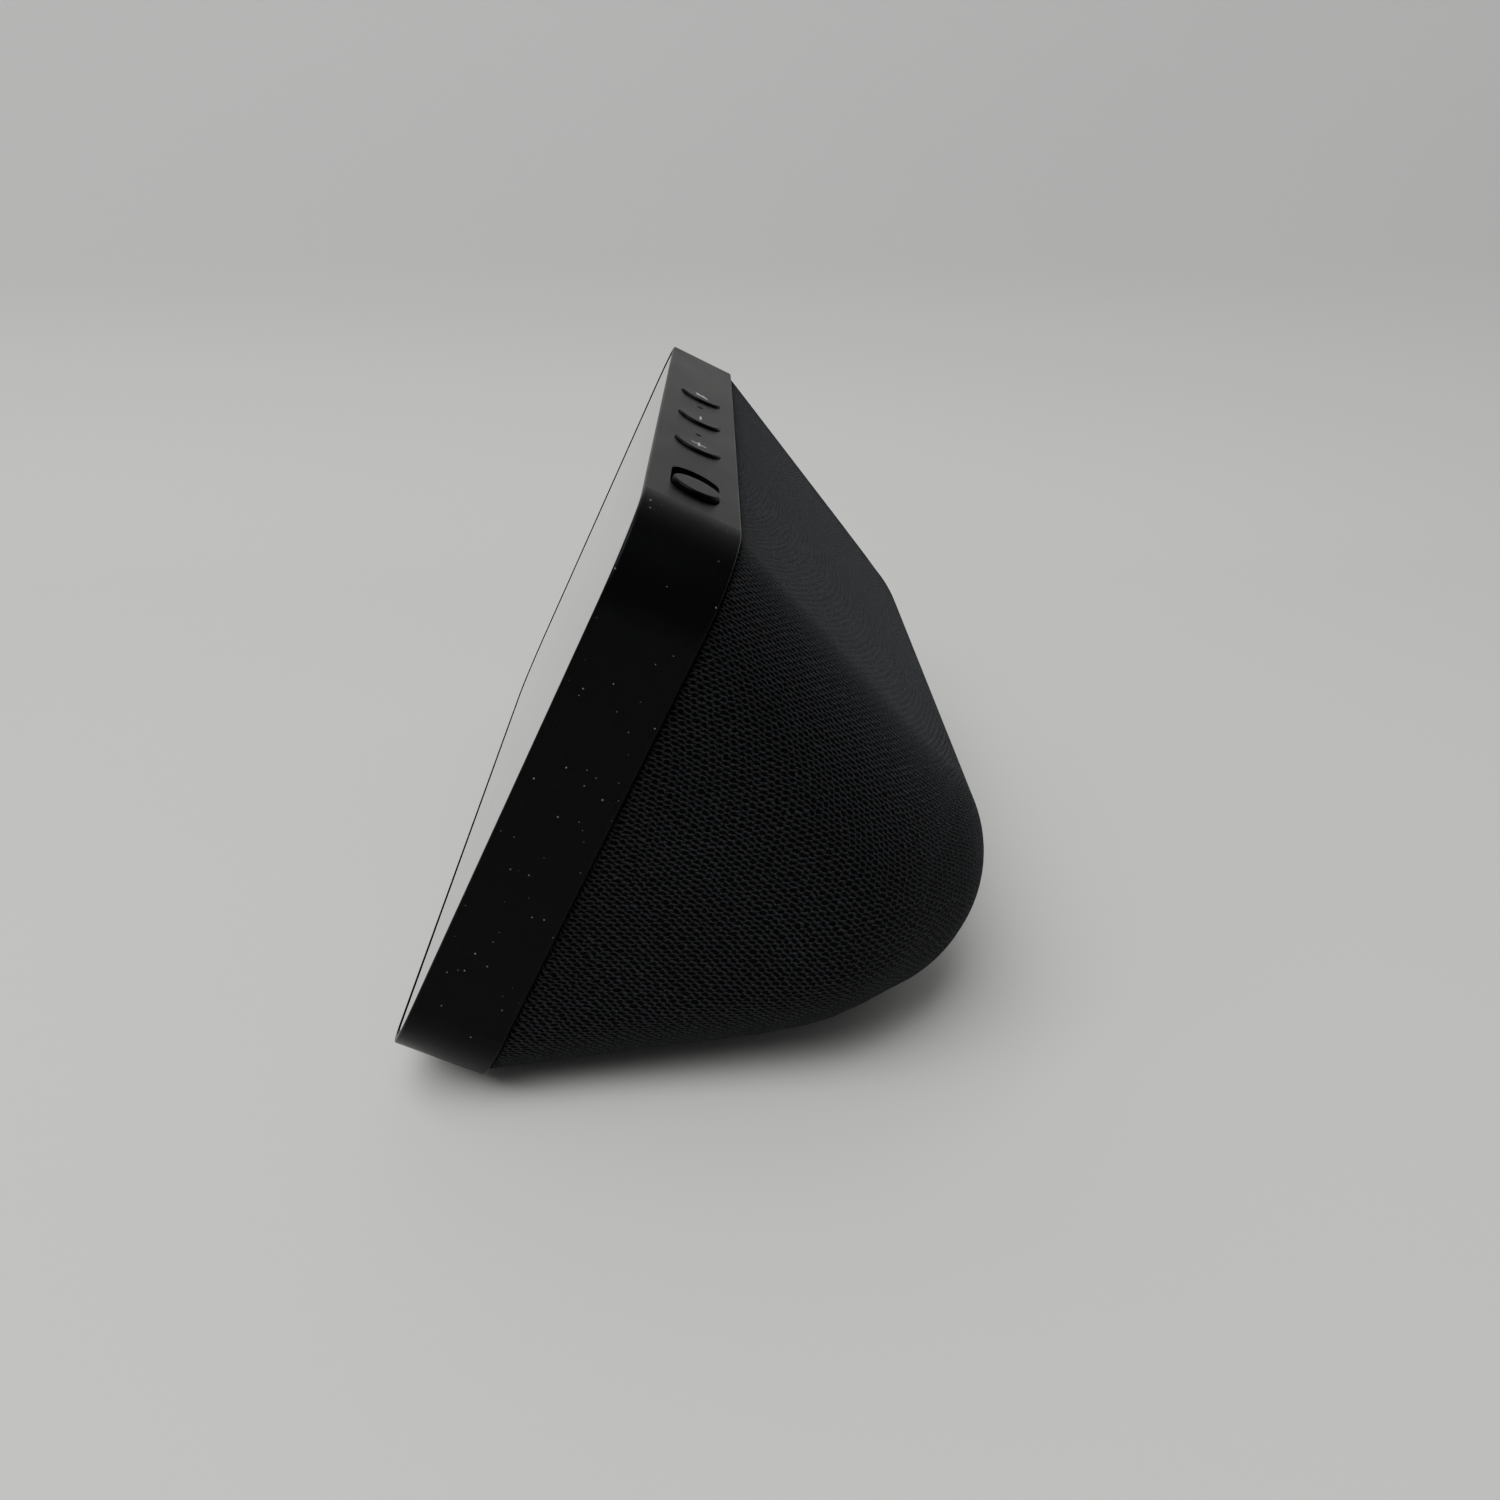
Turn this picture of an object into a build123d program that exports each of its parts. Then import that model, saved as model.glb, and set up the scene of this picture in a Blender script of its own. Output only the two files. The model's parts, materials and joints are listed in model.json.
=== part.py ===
"""Tabletop smart speaker: a tilted touch screen in a plastic frame, with a fabric-covered wedge behind it.

Three frames are used, all in millimetres.
  world  X to the right as seen from the front, -Y to the front, +Z up, origin on the table under the middle.
  face   the screen's own frame: X to the right, Y into the device (depth), Z up the screen (rise).
  slope  the sloping back's own frame: X as above, Y down the slope, Z out through the fabric.
"""
from build123d import *
from math import asin, atan2, cos, degrees, hypot, radians, sin, sqrt
import os

# ---------------------------------------------------------------- driving dimensions
WIDTH = 147.0
FACE_HEIGHT = 84.5
FRAME_DEPTH = 12.8
TILT = 26.0                      # the screen leans back from vertical, degrees
FRONT_EDGE_Z = 6.6               # lowest front edge above the table
CORNER_RADIUS = 12.2
FRAME_WALL = 1.9
FRAME_LIP = 1.0                  # rim left around the glass
FACE_MID = FACE_HEIGHT / 2

# The back is the convex skin around the frame's rear edge and two rounded bars, each given as
# (distance behind the front edge, height above the table, radius, half length of its straight part).
UPPER_BAR = (62.6, 25.1, 21.15, 45.5)
LOWER_BAR = (56.6, 23.1, 21.13, 49.7)
OVERALL_DEPTH = UPPER_BAR[0] + UPPER_BAR[2]
FABRIC_STEP = 0.75               # fabric stands back from the frame's side by this much
FABRIC = 0.8
SHELL_GAP = 0.2
SHELL_WALL = 2.0
SHELL_OUT = FABRIC + SHELL_GAP
SHELL_IN = SHELL_OUT + SHELL_WALL
STRAIGHT_TO = 42.0               # depth to which the wedge's walls are straight
ROUND_STEPS = (0, 16, 30, 44, 57, 69, 80)    # angles round the upper bar of the lofted sections

# Screen stack, as depths behind the frame's front edge
GLASS_NEAR, GLASS_FAR = 0.15, 1.15
LEDGE_NEAR, LEDGE_FAR = 1.25, 2.25
PANEL_FAR = 2.45
GUIDE_FAR = 3.25
TRAY_FAR = 4.2
BRACKET_FAR = 5.2
BOARD_NEAR, BOARD_FAR = 8.4, 9.6
PANEL_SIZE = (129.0, 66.0)
PANEL_RISE = FACE_MID - 1.0
BRACKET_SIZE = (141.0, 67.5)
BRACKET_RISE = FACE_MID - 1.5

# Controls in the top of the frame
CONTROL_DEPTH = FRAME_DEPTH / 2
BUTTON_PITCH = 20.6
VOLUME_UP_X = 25.2
BUTTON_X = {
    "volume_up": VOLUME_UP_X,
    "volume_down": VOLUME_UP_X - BUTTON_PITCH,
    "mic_off": VOLUME_UP_X - 2 * BUTTON_PITCH,
}
BUTTON_RADIUS = 3.5
BUTTON_GAP = 0.15
BUTTON_PROUD = 0.45
BUTTON_TRAVEL = 0.4
MICROPHONE_X = (16.2, -7.0)
TOP_IN = FACE_HEIGHT - FRAME_WALL          # underside of the frame's top wall
SLOT_WIDTH, SLOT_LENGTH, SLOT_X = 6.8, 13.6, 48.9
KNOB_X, KNOB_RADIUS, KNOB_PROUD = 52.0, 3.25, 0.8
CAMERA_X, CAMERA_RISE = 58.0, 77.8
CAMERA_SIDE = 6.6
BOARD_RISE = 76.8                          # underside of the button board
BUTTON_BOARD_THICK = 1.2

# Speaker, in the slope frame
DRIVER_SHIFT = 1.5                         # driver centre below the middle of the slope
DRIVER_SIDE = 42.0
CONE_RADIUS = 14.5
COIL_RADIUS = 6.6
BAFFLE_SIZE = (104.0, 43.6)
BOX_SIZE = (88.0, 43.6)
BOX_BACK = -27.0
BOX_WALL = 1.6
BOX_NEAREST_DEPTH = 13.2                   # the box keeps this far behind the face

# Base and power inlet, in the world frame
BASE_SIZE, BASE_Y = (102.0, 42.0), -6.0
BASE_BOTTOM, BASE_TOP = 1.0, 2.55
FOOT_SIZE, FOOT_TOP = (94.0, 34.0), 1.4
INLET_X, INLET_Z = -25.0, 16.5
INLET_FACE_Y = 35.2
INLET_SIZE = (30.0, 11.0)
JACK_BORE, JACK_DEPTH = 2.9, 10.0


# ---------------------------------------------------------------- frames and small helpers
FACE = Location((0, -OVERALL_DEPTH / 2, FRONT_EDGE_Z), (-TILT, 0, 0))


def to_face(y, z):
    """Depth and rise of a world point given by its distance behind the front edge and its height."""
    c, s = cos(radians(TILT)), sin(radians(TILT))
    return y * c - (z - FRONT_EDGE_Z) * s, y * s + (z - FRONT_EDGE_Z) * c


def face_slab(size, near, far, radius=0.0, x=0.0, rise=FACE_MID):
    """Plate parallel to the screen, between two depths."""
    width, height = size
    outline = RectangleRounded(width, height, radius) if radius else Rectangle(width, height)
    return Pos(x, near, rise) * extrude(Plane.XZ * outline, amount=near - far)


def face_rod(radius, near, far, x, rise):
    """Round rod square to the screen."""
    return Pos(x, near, rise) * extrude(Plane.XZ * Circle(radius), amount=near - far)


def block(x, y, z):
    """Box from three (low, high) pairs."""
    size = [high - low for low, high in (x, y, z)]
    middle = [(low + high) / 2 for low, high in (x, y, z)]
    return Pos(*middle) * Box(*size)


def rod(radius, low, high, x=0.0, y=0.0):
    """Round rod along Z."""
    return Pos(x, y, low) * Cylinder(radius, high - low, align=(Align.CENTER, Align.CENTER, Align.MIN))


def ring(outer, inner, low, high):
    """Round ring along Z."""
    return rod(outer, low, high) - rod(inner, low - 1, high + 1)


def screw(head_radius, head, shank_radius, length, recess=0.45):
    """Pan-head screw along Z: shank below Z = 0, head above, with a cross cut into the head."""
    body = rod(head_radius, 0, head) + rod(shank_radius, -length, 0)
    cut = Box(head_radius * 1.2, 0.4, recess) + Box(0.4, head_radius * 1.2, recess)
    return body - Pos(0, 0, head - recess / 2) * cut


def save(name, shape, place=Location()):
    """Write one node; a list is a group of separate solids."""
    solids = shape if isinstance(shape, list) else [shape]
    placed = [place * solid for item in solids for solid in item.solids()]
    export_step(placed[0] if len(placed) == 1 else Compound(placed), f"parts/{name}.step")


# ---------------------------------------------------------------- the wedge behind the frame
def outline_reach(depth, discs, way):
    """How far the convex outline around discs reaches at a depth: the lowest tangent line there."""
    reach = []
    for step in range(1, 360):
        angle = radians(step / 2)
        c, s = cos(angle), sin(angle)
        support = max(centre * c + way * side * s + radius for centre, side, radius in discs)
        reach.append((support - depth * c) / s)
    return way * min(reach)


def wedge(inset, near=FRAME_DEPTH):
    """Solid of the wedge, shrunk by inset: straight walls behind the frame, then a lofted rounded back."""
    edge = FABRIC_STEP + inset
    bars = [(*to_face(y, z), radius - inset, half) for y, z, radius, half in (UPPER_BAR, LOWER_BAR)]
    rises = [(depth, rise, radius) for depth, rise, radius, half in bars]
    sides = [(depth, half, radius) for depth, rise, radius, half in bars]
    rises += [(FRAME_DEPTH, FACE_HEIGHT - edge, 0), (FRAME_DEPTH, edge, 0)]
    sides += [(FRAME_DEPTH, WIDTH / 2 - edge, 0)]
    centre, _, radius, _ = bars[0]

    def section(depth):
        top = outline_reach(depth, rises, 1)
        bottom = outline_reach(depth, rises, -1)
        half = outline_reach(depth, sides, 1)
        grown = min(1.0, (depth - near) / (centre - near))
        corner = (CORNER_RADIUS - edge) * (1 - grown) + radius * 0.92 * grown
        outline = RectangleRounded(2 * half, top - bottom, min(corner, 0.47 * (top - bottom)))
        plane = Plane(origin=(0, depth, (top + bottom) / 2), x_dir=(1, 0, 0), z_dir=(0, -1, 0))
        return plane * outline

    rounded = [STRAIGHT_TO, (STRAIGHT_TO + centre) / 2]
    rounded += [centre + radius * sin(radians(angle)) for angle in ROUND_STEPS]
    straight = loft([section(near), section(STRAIGHT_TO)], ruled=True)
    return straight + loft([section(depth) for depth in rounded])


def slope_line(inset=0.0):
    """The slope's two ends in (depth, rise): at the frame, and where it meets the upper bar."""
    depth, rise = to_face(*UPPER_BAR[:2])
    radius = UPPER_BAR[2] - inset
    start = (FRAME_DEPTH, FACE_HEIGHT - FABRIC_STEP - inset)
    gap = hypot(depth - start[0], rise - start[1])
    angle = atan2(rise - start[1], depth - start[0]) + asin(radius / gap)
    run = sqrt(gap * gap - radius * radius)
    return start, (start[0] + run * cos(angle), start[1] + run * sin(angle)), degrees(angle)


SLOPE_START, SLOPE_END, SLOPE_ANGLE = slope_line()
SLOPE_MID = [(a + b) / 2 for a, b in zip(SLOPE_START, SLOPE_END)]
SLOPE = FACE * Location((0, *SLOPE_MID), (SLOPE_ANGLE, 0, 0)) * Pos(0, DRIVER_SHIFT, -0.4)


# ---------------------------------------------------------------- screen
def front_glass():
    margin = FRAME_LIP + 0.1
    size = (WIDTH - 2 * margin, FACE_HEIGHT - 2 * margin)
    return face_slab(size, GLASS_NEAR, GLASS_FAR, CORNER_RADIUS - margin)


def glass_tape():
    """Thin double-sided tape on the frame's ledge."""
    outer = face_slab((WIDTH - 2.6, FACE_HEIGHT - 2.6), GLASS_FAR, LEDGE_NEAR, CORNER_RADIUS - 1.3)
    inner = face_slab((WIDTH - 6.4, FACE_HEIGHT - 6.4), 0, 3, CORNER_RADIUS - 3.2)
    return outer - inner - shutter_room()


def backlight_tray():
    outer = face_slab(PANEL_SIZE, PANEL_FAR, TRAY_FAR, 1.5, rise=PANEL_RISE)
    pocket = face_slab((PANEL_SIZE[0] - 1.6, PANEL_SIZE[1] - 1.6), 0, GUIDE_FAR, 1.0, rise=PANEL_RISE)
    return outer - pocket


def display_bracket():
    """Aluminium plate behind the screen, with side ears and posts for the main board."""
    plate = face_slab(BRACKET_SIZE, TRAY_FAR, BRACKET_FAR, 3.0, rise=BRACKET_RISE)
    for x, rise in BRACKET_SCREWS:
        plate -= face_rod(1.4, 0, 20, x, rise)
    for x, rise in BOARD_SCREWS:
        plate += face_rod(2.5, BRACKET_FAR, BOARD_NEAR, x, rise)
        plate -= face_rod(1.05, TRAY_FAR + 0.6, 20, x, rise)
    return plate


# ---------------------------------------------------------------- frame
BRACKET_SCREWS = [(x, rise) for x in (-67.8, 67.8) for rise in (27.0, 57.0)]
FRAME_SCREWS = [(x, rise) for x in (-62.0, 62.0) for rise in (12.6, 70.6)]
BOARD_SCREWS = [(x, rise) for x in (-51.0, 35.0) for rise in (18.0, 62.0)]
BUTTON_BOARD_SCREWS = (-26.5, 31.6)
SCREW_DEPTH = 9.5
LUG_NEAR, LUG_FAR = 9.0, 11.0


def shutter_room():
    """Space cut out of the glass ledge for the camera shutter and its travel."""
    inside = face_slab((WIDTH - 2 * FRAME_WALL, FACE_HEIGHT - 2 * FRAME_WALL), 0, 5, CORNER_RADIUS - FRAME_WALL)
    return block((41.0, 67.5), (GLASS_FAR, 3.2), (73.0, TOP_IN)) & inside


def top_hole(radius, x, depth=CONTROL_DEPTH):
    """Cutter for a round hole through the frame's top wall."""
    return rod(radius, TOP_IN - 0.5, FACE_HEIGHT + 1, x, depth)


def front_frame():
    outer = face_slab((WIDTH, FACE_HEIGHT), 0, FRAME_DEPTH, CORNER_RADIUS)
    outer = fillet(outer.edges().group_by(Axis.Y)[0] + outer.edges().group_by(Axis.Y)[-1], 0.35)
    inner_size = (WIDTH - 2 * FRAME_WALL, FACE_HEIGHT - 2 * FRAME_WALL)
    frame = outer - face_slab((WIDTH - 2 * FRAME_LIP, FACE_HEIGHT - 2 * FRAME_LIP), -1, LEDGE_NEAR,
                              CORNER_RADIUS - FRAME_LIP)
    frame -= face_slab(inner_size, LEDGE_FAR, FRAME_DEPTH + 1, CORNER_RADIUS - FRAME_WALL)
    frame -= face_slab((WIDTH - 6.4, FACE_HEIGHT - 6.4), 0, 3, CORNER_RADIUS - 3.2)
    frame -= shutter_room()
    room = face_slab(inner_size, LEDGE_FAR - 1, LUG_FAR, CORNER_RADIUS - FRAME_WALL + 0.3)
    fittings = []
    for x, rise in FRAME_SCREWS:
        way, up = (1 if x > 0 else -1), (1 if rise > FACE_MID else -1)
        arm = face_slab((12.0, 6.0), LUG_NEAR, LUG_FAR, x=x + way * 6.0, rise=rise)
        stem = face_slab((6.0, 13.0), LUG_NEAR, LUG_FAR, x=x, rise=rise + up * 6.5)
        fittings.append(face_rod(3.3, LUG_NEAR, LUG_FAR, x, rise) + arm + stem)
    for x, rise in BRACKET_SCREWS:
        way = 1 if x > 0 else -1
        rib = face_slab((5.0, 3.0), BRACKET_FAR, LUG_FAR, x=x + way * 2.5, rise=rise)
        fittings.append(face_rod(2.5, BRACKET_FAR, LUG_FAR, x, rise) + rib)
    reach = face_slab((WIDTH - FRAME_WALL, FACE_HEIGHT - FRAME_WALL), 0, FRAME_DEPTH,
                      CORNER_RADIUS - FRAME_WALL / 2)
    for fitting in fittings:
        frame += fitting & reach
    for x in BUTTON_BOARD_SCREWS:
        frame += rod(1.6, BOARD_RISE + BUTTON_BOARD_THICK, TOP_IN + 0.5, x, SCREW_DEPTH)
        frame -= rod(0.75, BOARD_RISE, TOP_IN - 0.6, x, SCREW_DEPTH)
    for x, rise in FRAME_SCREWS:
        frame -= face_rod(1.4, 0, 12, x, rise)
    for x, rise in BRACKET_SCREWS:
        frame -= face_rod(1.05, 0, LUG_FAR - 0.8, x, rise)
    for x in BUTTON_X.values():
        frame -= top_hole(BUTTON_RADIUS + BUTTON_GAP, x)
    for x in MICROPHONE_X:
        frame -= top_hole(0.5, x)
    slot = Pos(SLOT_X, CONTROL_DEPTH, TOP_IN - 0.5) * extrude(SlotOverall(SLOT_LENGTH, SLOT_WIDTH), 3)
    return frame - slot


# ---------------------------------------------------------------- controls
FLANGE_RADIUS = 4.05
FLANGE_TOP = TOP_IN - 0.05
FLANGE_BOTTOM = FLANGE_TOP - 1.1
SWITCH_TOP = 79.6
CARRIER_LOW, CARRIER_HIGH = 81.6, 82.4
BLADE_NEAR, BLADE_FAR = 1.5, 1.9


def button():
    """Round key cap with a retaining flange, at X = 0."""
    cap = rod(BUTTON_RADIUS, FLANGE_TOP - 0.1, FACE_HEIGHT + BUTTON_PROUD)
    cap = fillet(cap.edges().group_by(Axis.Z)[-1], 0.3)
    return Pos(0, CONTROL_DEPTH, 0) * (cap + rod(FLANGE_RADIUS, FLANGE_BOTTOM, FLANGE_TOP))


def switch_body():
    """Surface-mount tact switch case with a hole for its plunger, at X = 0."""
    case = block((-2.25, 2.25), (-2.25, 2.25), (BOARD_RISE + BUTTON_BOARD_THICK, SWITCH_TOP))
    return Pos(0, CONTROL_DEPTH, 0) * (case - rod(1.2, SWITCH_TOP - 1.2, SWITCH_TOP + 1))


def switch_plunger():
    return Pos(0, CONTROL_DEPTH, 0) * rod(1.1, SWITCH_TOP - 0.6, FLANGE_BOTTOM)


def button_board():
    board = block((-30.0, 36.0), (3.9, 11.0), (BOARD_RISE, BOARD_RISE + BUTTON_BOARD_THICK))
    for x in BUTTON_BOARD_SCREWS:
        board -= rod(0.95, 0, 90, x, SCREW_DEPTH)
    for x in MICROPHONE_X:
        board -= rod(0.4, 0, 90, x, CONTROL_DEPTH)
    return board


def microphone():
    """Bottom-port microphone can under the button board, at X = 0."""
    return Pos(0, CONTROL_DEPTH, 0) * block((-1.9, 1.9), (-1.4, 1.4), (BOARD_RISE - 1.1, BOARD_RISE))


def microphone_gasket():
    """Rubber sound tube between the board and the frame's top wall, at X = 0."""
    tube = ring(2.2, 0.6, BOARD_RISE + BUTTON_BOARD_THICK, TOP_IN)
    return Pos(0, CONTROL_DEPTH, 0) * tube


def shutter_slide():
    """Knob, carrier plate under the slot, and the blade with a window, which runs behind the glass."""
    knob = rod(KNOB_RADIUS, CARRIER_HIGH - 0.1, FACE_HEIGHT + KNOB_PROUD, KNOB_X, CONTROL_DEPTH)
    knob = fillet(knob.edges().group_by(Axis.Z)[-1], 0.3)
    carrier = block((KNOB_X - 12.0, KNOB_X + 5.0), (2.4, 10.4), (CARRIER_LOW, CARRIER_HIGH))
    neck = block((KNOB_X - 3.5, KNOB_X + 3.5), (BLADE_NEAR, 2.5), (CARRIER_LOW, CARRIER_HIGH))
    hanger = block((KNOB_X - 3.5, KNOB_X + 3.5), (BLADE_NEAR, BLADE_FAR), (80.0, CARRIER_HIGH))
    blade = block((KNOB_X - 3.5, KNOB_X + 14.6), (BLADE_NEAR, BLADE_FAR), (75.2, 80.6))
    window = face_rod(2.2, 0, 5, CAMERA_X, CAMERA_RISE)
    return knob + carrier + neck + hanger + blade - window


def camera_module():
    half = CAMERA_SIDE / 2
    x = (CAMERA_X - half, CAMERA_X + half)
    rise = (CAMERA_RISE - half, CAMERA_RISE + half)
    case = block(x, (3.2, 7.0), rise) + face_rod(2.6, 2.3, 3.3, CAMERA_X, CAMERA_RISE)
    return case - face_rod(1.7, 0, 4.2, CAMERA_X, CAMERA_RISE)


def camera_lens():
    """Front lens element, domed towards the glass."""
    dome_radius = 3.2
    ball = Pos(CAMERA_X, 2.5 + dome_radius, CAMERA_RISE) * Sphere(dome_radius)
    return face_rod(1.68, 2.4, 3.9, CAMERA_X, CAMERA_RISE) & ball


def light_sensor():
    return block((29.0, 31.4), (2.6, 3.9), (BOARD_RISE, BOARD_RISE + 1.6))


# ---------------------------------------------------------------- main board
CANS = ((-30.0, 34.0), (8.0, 46.0))
CAN_SIZE = (24.0, 20.0)


def main_board():
    board = face_slab((95.0, 52.0), BOARD_NEAR, BOARD_FAR, 2.0, x=-8.0, rise=40.0)
    for x, rise in BOARD_SCREWS:
        board -= face_rod(1.2, 0, 20, x, rise)
    return board


def shield_can(x, rise):
    """Stamped steel can, open towards the board."""
    case = face_slab(CAN_SIZE, BOARD_NEAR - 2.0, BOARD_NEAR, 0.8, x=x, rise=rise)
    return case - face_slab((CAN_SIZE[0] - 0.6, CAN_SIZE[1] - 0.6), BOARD_NEAR - 1.7, BOARD_NEAR + 1, 0.6,
                            x=x, rise=rise)


def board_chip(x, rise):
    return face_slab((11.0, 11.0), BOARD_NEAR - 1.2, BOARD_NEAR, x=x, rise=rise)


def thermal_pad(x, rise):
    return face_slab((14.0, 14.0), BRACKET_FAR, BOARD_NEAR - 2.0, x=x, rise=rise)


def connector(x, rise):
    """Board connector on the rear side of the main board."""
    return face_slab((9.0, 4.0), BOARD_FAR, BOARD_FAR + 1.6, x=x, rise=rise)


# ---------------------------------------------------------------- rear shell, fabric and base
BOX_SCREWS = [(x, y) for x in (-48.5, 48.5) for y in (-13.0, 13.0)]
BASE_SCREWS = [(x, BASE_Y + y) for x in (-40.0, 40.0) for y in (-12.0, 11.0)]
MAGNET_X = 22.0
POWER_POSTS = (-35.0, -15.0)
POWER_POST_Y, POWER_BOARD_Z = 16.0, 9.5
GRILLE_PITCH, GRILLE_HOLE, GRILLE_REACH = 4.6, 1.5, 16.5


def grille_cutters():
    """Round holes on a staggered grid in front of the driver."""
    row_step = GRILLE_PITCH * sqrt(3) / 2
    rows = int(GRILLE_REACH / row_step)
    cutters = []
    for row in range(-rows, rows + 1):
        shift = GRILLE_PITCH / 2 * (row % 2)
        for column in range(-4, 5):
            x, y = column * GRILLE_PITCH + shift, row * row_step
            if hypot(x, y) <= GRILLE_REACH:
                cutters.append(SLOPE * rod(GRILLE_HOLE, -4, 1, x, y))
    return cutters


def inlet_prism(grow, near, far):
    """Pill-shaped bar through the back for the power inlet."""
    width, height = INLET_SIZE[0] + 2 * grow, INLET_SIZE[1] + 2 * grow
    pill = extrude(Plane.XZ * SlotOverall(width, height), amount=near - far)
    return Pos(INLET_X, near, INLET_Z) * pill


def base_slab(size, low, high, radius):
    return Pos(0, BASE_Y, low) * extrude(RectangleRounded(*size, radius), high - low)


def rear_shell():
    outside = FACE * wedge(SHELL_OUT)
    inside = FACE * wedge(SHELL_IN)
    shell = outside - inside
    keep = FACE * wedge((SHELL_OUT + SHELL_IN) / 2)
    shell += FACE * shell_rim()
    bosses = []
    for x, rise in FRAME_SCREWS:
        way, up = (1 if x > 0 else -1), (1 if rise > FACE_MID else -1)
        arm = face_slab((12.0, 4.0), FRAME_DEPTH, 24.0, x=x + way * 6.0, rise=rise)
        stem = face_slab((4.0, 12.0), FRAME_DEPTH, 24.0, x=x, rise=rise + up * 6.0)
        post = face_rod(3.3, LUG_FAR, FRAME_DEPTH + 1, x, rise)
        shell += FACE * post
        bosses.append(FACE * (face_rod(3.3, FRAME_DEPTH, 24.0, x, rise) + arm + stem))
    bosses += [SLOPE * rod(3.0, -4.7, -1.0, x, y) for x, y in BOX_SCREWS]
    bosses += [rod(3.2, 0, 11.0, x, y) for x, y in BASE_SCREWS]
    bosses += [rod(7.4, 0, 8.0, x, BASE_Y) for x in (-MAGNET_X, MAGNET_X)]
    bosses += [rod(2.4, 0, POWER_BOARD_Z, x, POWER_POST_Y) for x in POWER_POSTS]
    for boss in bosses:
        shell += boss & keep
    for x, rise in FRAME_SCREWS:
        shell -= FACE * face_rod(1.25, LUG_FAR - 1, 21.0, x, rise)
    for x, y in BOX_SCREWS:
        shell -= SLOPE * rod(0.95, -5.5, -2.0, x, y)
    for x, y in BASE_SCREWS:
        shell -= rod(1.25, 0, 10.0, x, y)
    for x in (-MAGNET_X, MAGNET_X):
        shell -= rod(6.05, 4.8, 9.0, x, BASE_Y)
    for x in POWER_POSTS:
        shell -= rod(0.95, 5.2, 20.0, x, POWER_POST_Y)
    shell -= base_slab((BASE_SIZE[0] + 1.0, BASE_SIZE[1] + 1.0), 0, BASE_TOP, 10.5)
    shell -= inlet_prism(0.2, JACK_FRONT - 1.0, 50.0)
    shell -= block((INLET_X - 4.8, INLET_X + 4.8), (20.0, JACK_FRONT + 0.1), (POWER_BOARD_Z, INLET_Z + 4.4))
    for cutter in grille_cutters():
        shell -= cutter
    return shell


def shell_rim():
    """Front rim of the shell: a stiffening ring, and a tongue that locates inside the frame."""
    edge = FABRIC_STEP + SHELL_OUT
    outer = face_slab((WIDTH - 2 * edge, FACE_HEIGHT - 2 * edge), FRAME_DEPTH, FRAME_DEPTH + 0.6,
                      CORNER_RADIUS - edge)
    tongue = face_slab((WIDTH - 2 * FRAME_WALL - 0.2, FACE_HEIGHT - 2 * FRAME_WALL - 0.2), LUG_FAR + 0.2,
                       FRAME_DEPTH + 0.6, CORNER_RADIUS - FRAME_WALL - 0.1)
    opening = face_slab((WIDTH - 2 * FRAME_WALL - 3.2, FACE_HEIGHT - 2 * FRAME_WALL - 3.2), 0, 20,
                        CORNER_RADIUS - FRAME_WALL - 1.6)
    return outer + tongue - opening


def fabric_cover():
    near = FRAME_DEPTH + 0.1
    cover = FACE * (wedge(0.0, near) - wedge(FABRIC, near - 0.01))
    cover -= base_slab((BASE_SIZE[0] + 1.0, BASE_SIZE[1] + 1.0), 0, BASE_TOP + 1.5, 10.5)
    return cover - inlet_prism(0.2, 20.0, 50.0)


def base_plate():
    plate = base_slab(BASE_SIZE, BASE_BOTTOM, BASE_TOP, 10.0)
    plate -= base_slab((FOOT_SIZE[0] + 0.2, FOOT_SIZE[1] + 0.2), 0, FOOT_TOP, 7.1)
    for x, y in BASE_SCREWS:
        plate -= rod(1.4, 0, 5, x, y)
        plate -= rod(2.6, 0, FOOT_TOP + 0.6, x, y)
    return plate


def rubber_foot():
    """Sheet rubber pad that the device stands on, with a shallow groove inside its edge."""
    pad = base_slab(FOOT_SIZE, 0, FOOT_TOP, 7.0)
    groove = base_slab((FOOT_SIZE[0] - 5, FOOT_SIZE[1] - 5), -1, 0.4, 4.5)
    groove -= base_slab((FOOT_SIZE[0] - 8, FOOT_SIZE[1] - 8), -1, 1, 3.0)
    return pad - groove


# ---------------------------------------------------------------- power inlet
JACK_FRONT = INLET_FACE_Y - 1.5
JACK_BACK = JACK_FRONT - JACK_DEPTH - 3.0


def inlet_rod(radius, near, far):
    return Pos(INLET_X, near, INLET_Z) * extrude(Plane.XZ * Circle(radius), amount=near - far)


def port_plate():
    """Pill-shaped plastic surround: a flat plate sunk below the fabric, with a rim up to it."""
    rim = inlet_prism(0.0, JACK_FRONT, 50.0) & (FACE * wedge(0.2))
    recess = inlet_prism(-1.2, INLET_FACE_Y, 60.0)
    return rim - recess - inlet_rod(JACK_BORE + 0.3, 0, 60)


def dc_jack():
    """Barrel jack housing with a round mouth."""
    case = block((INLET_X - 4.5, INLET_X + 4.5), (JACK_BACK, JACK_FRONT), (POWER_BOARD_Z + 1.2, INLET_Z + 4.0))
    return case - inlet_rod(JACK_BORE, JACK_FRONT - JACK_DEPTH, 60)


def dc_jack_pin():
    """Centre contact of the power jack, rounded at its free end."""
    pin = inlet_rod(0.85, JACK_FRONT - JACK_DEPTH, JACK_FRONT - 1.2)
    return fillet(pin.edges().group_by(Axis.Y)[-1], 0.5)


def power_board():
    z = (POWER_BOARD_Z, POWER_BOARD_Z + 1.2)
    board = block((-39.0, -11.0), (11.0, 29.4), z)
    for x in POWER_POSTS:
        board -= rod(1.1, 0, 30, x, POWER_POST_Y)
    return board


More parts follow.
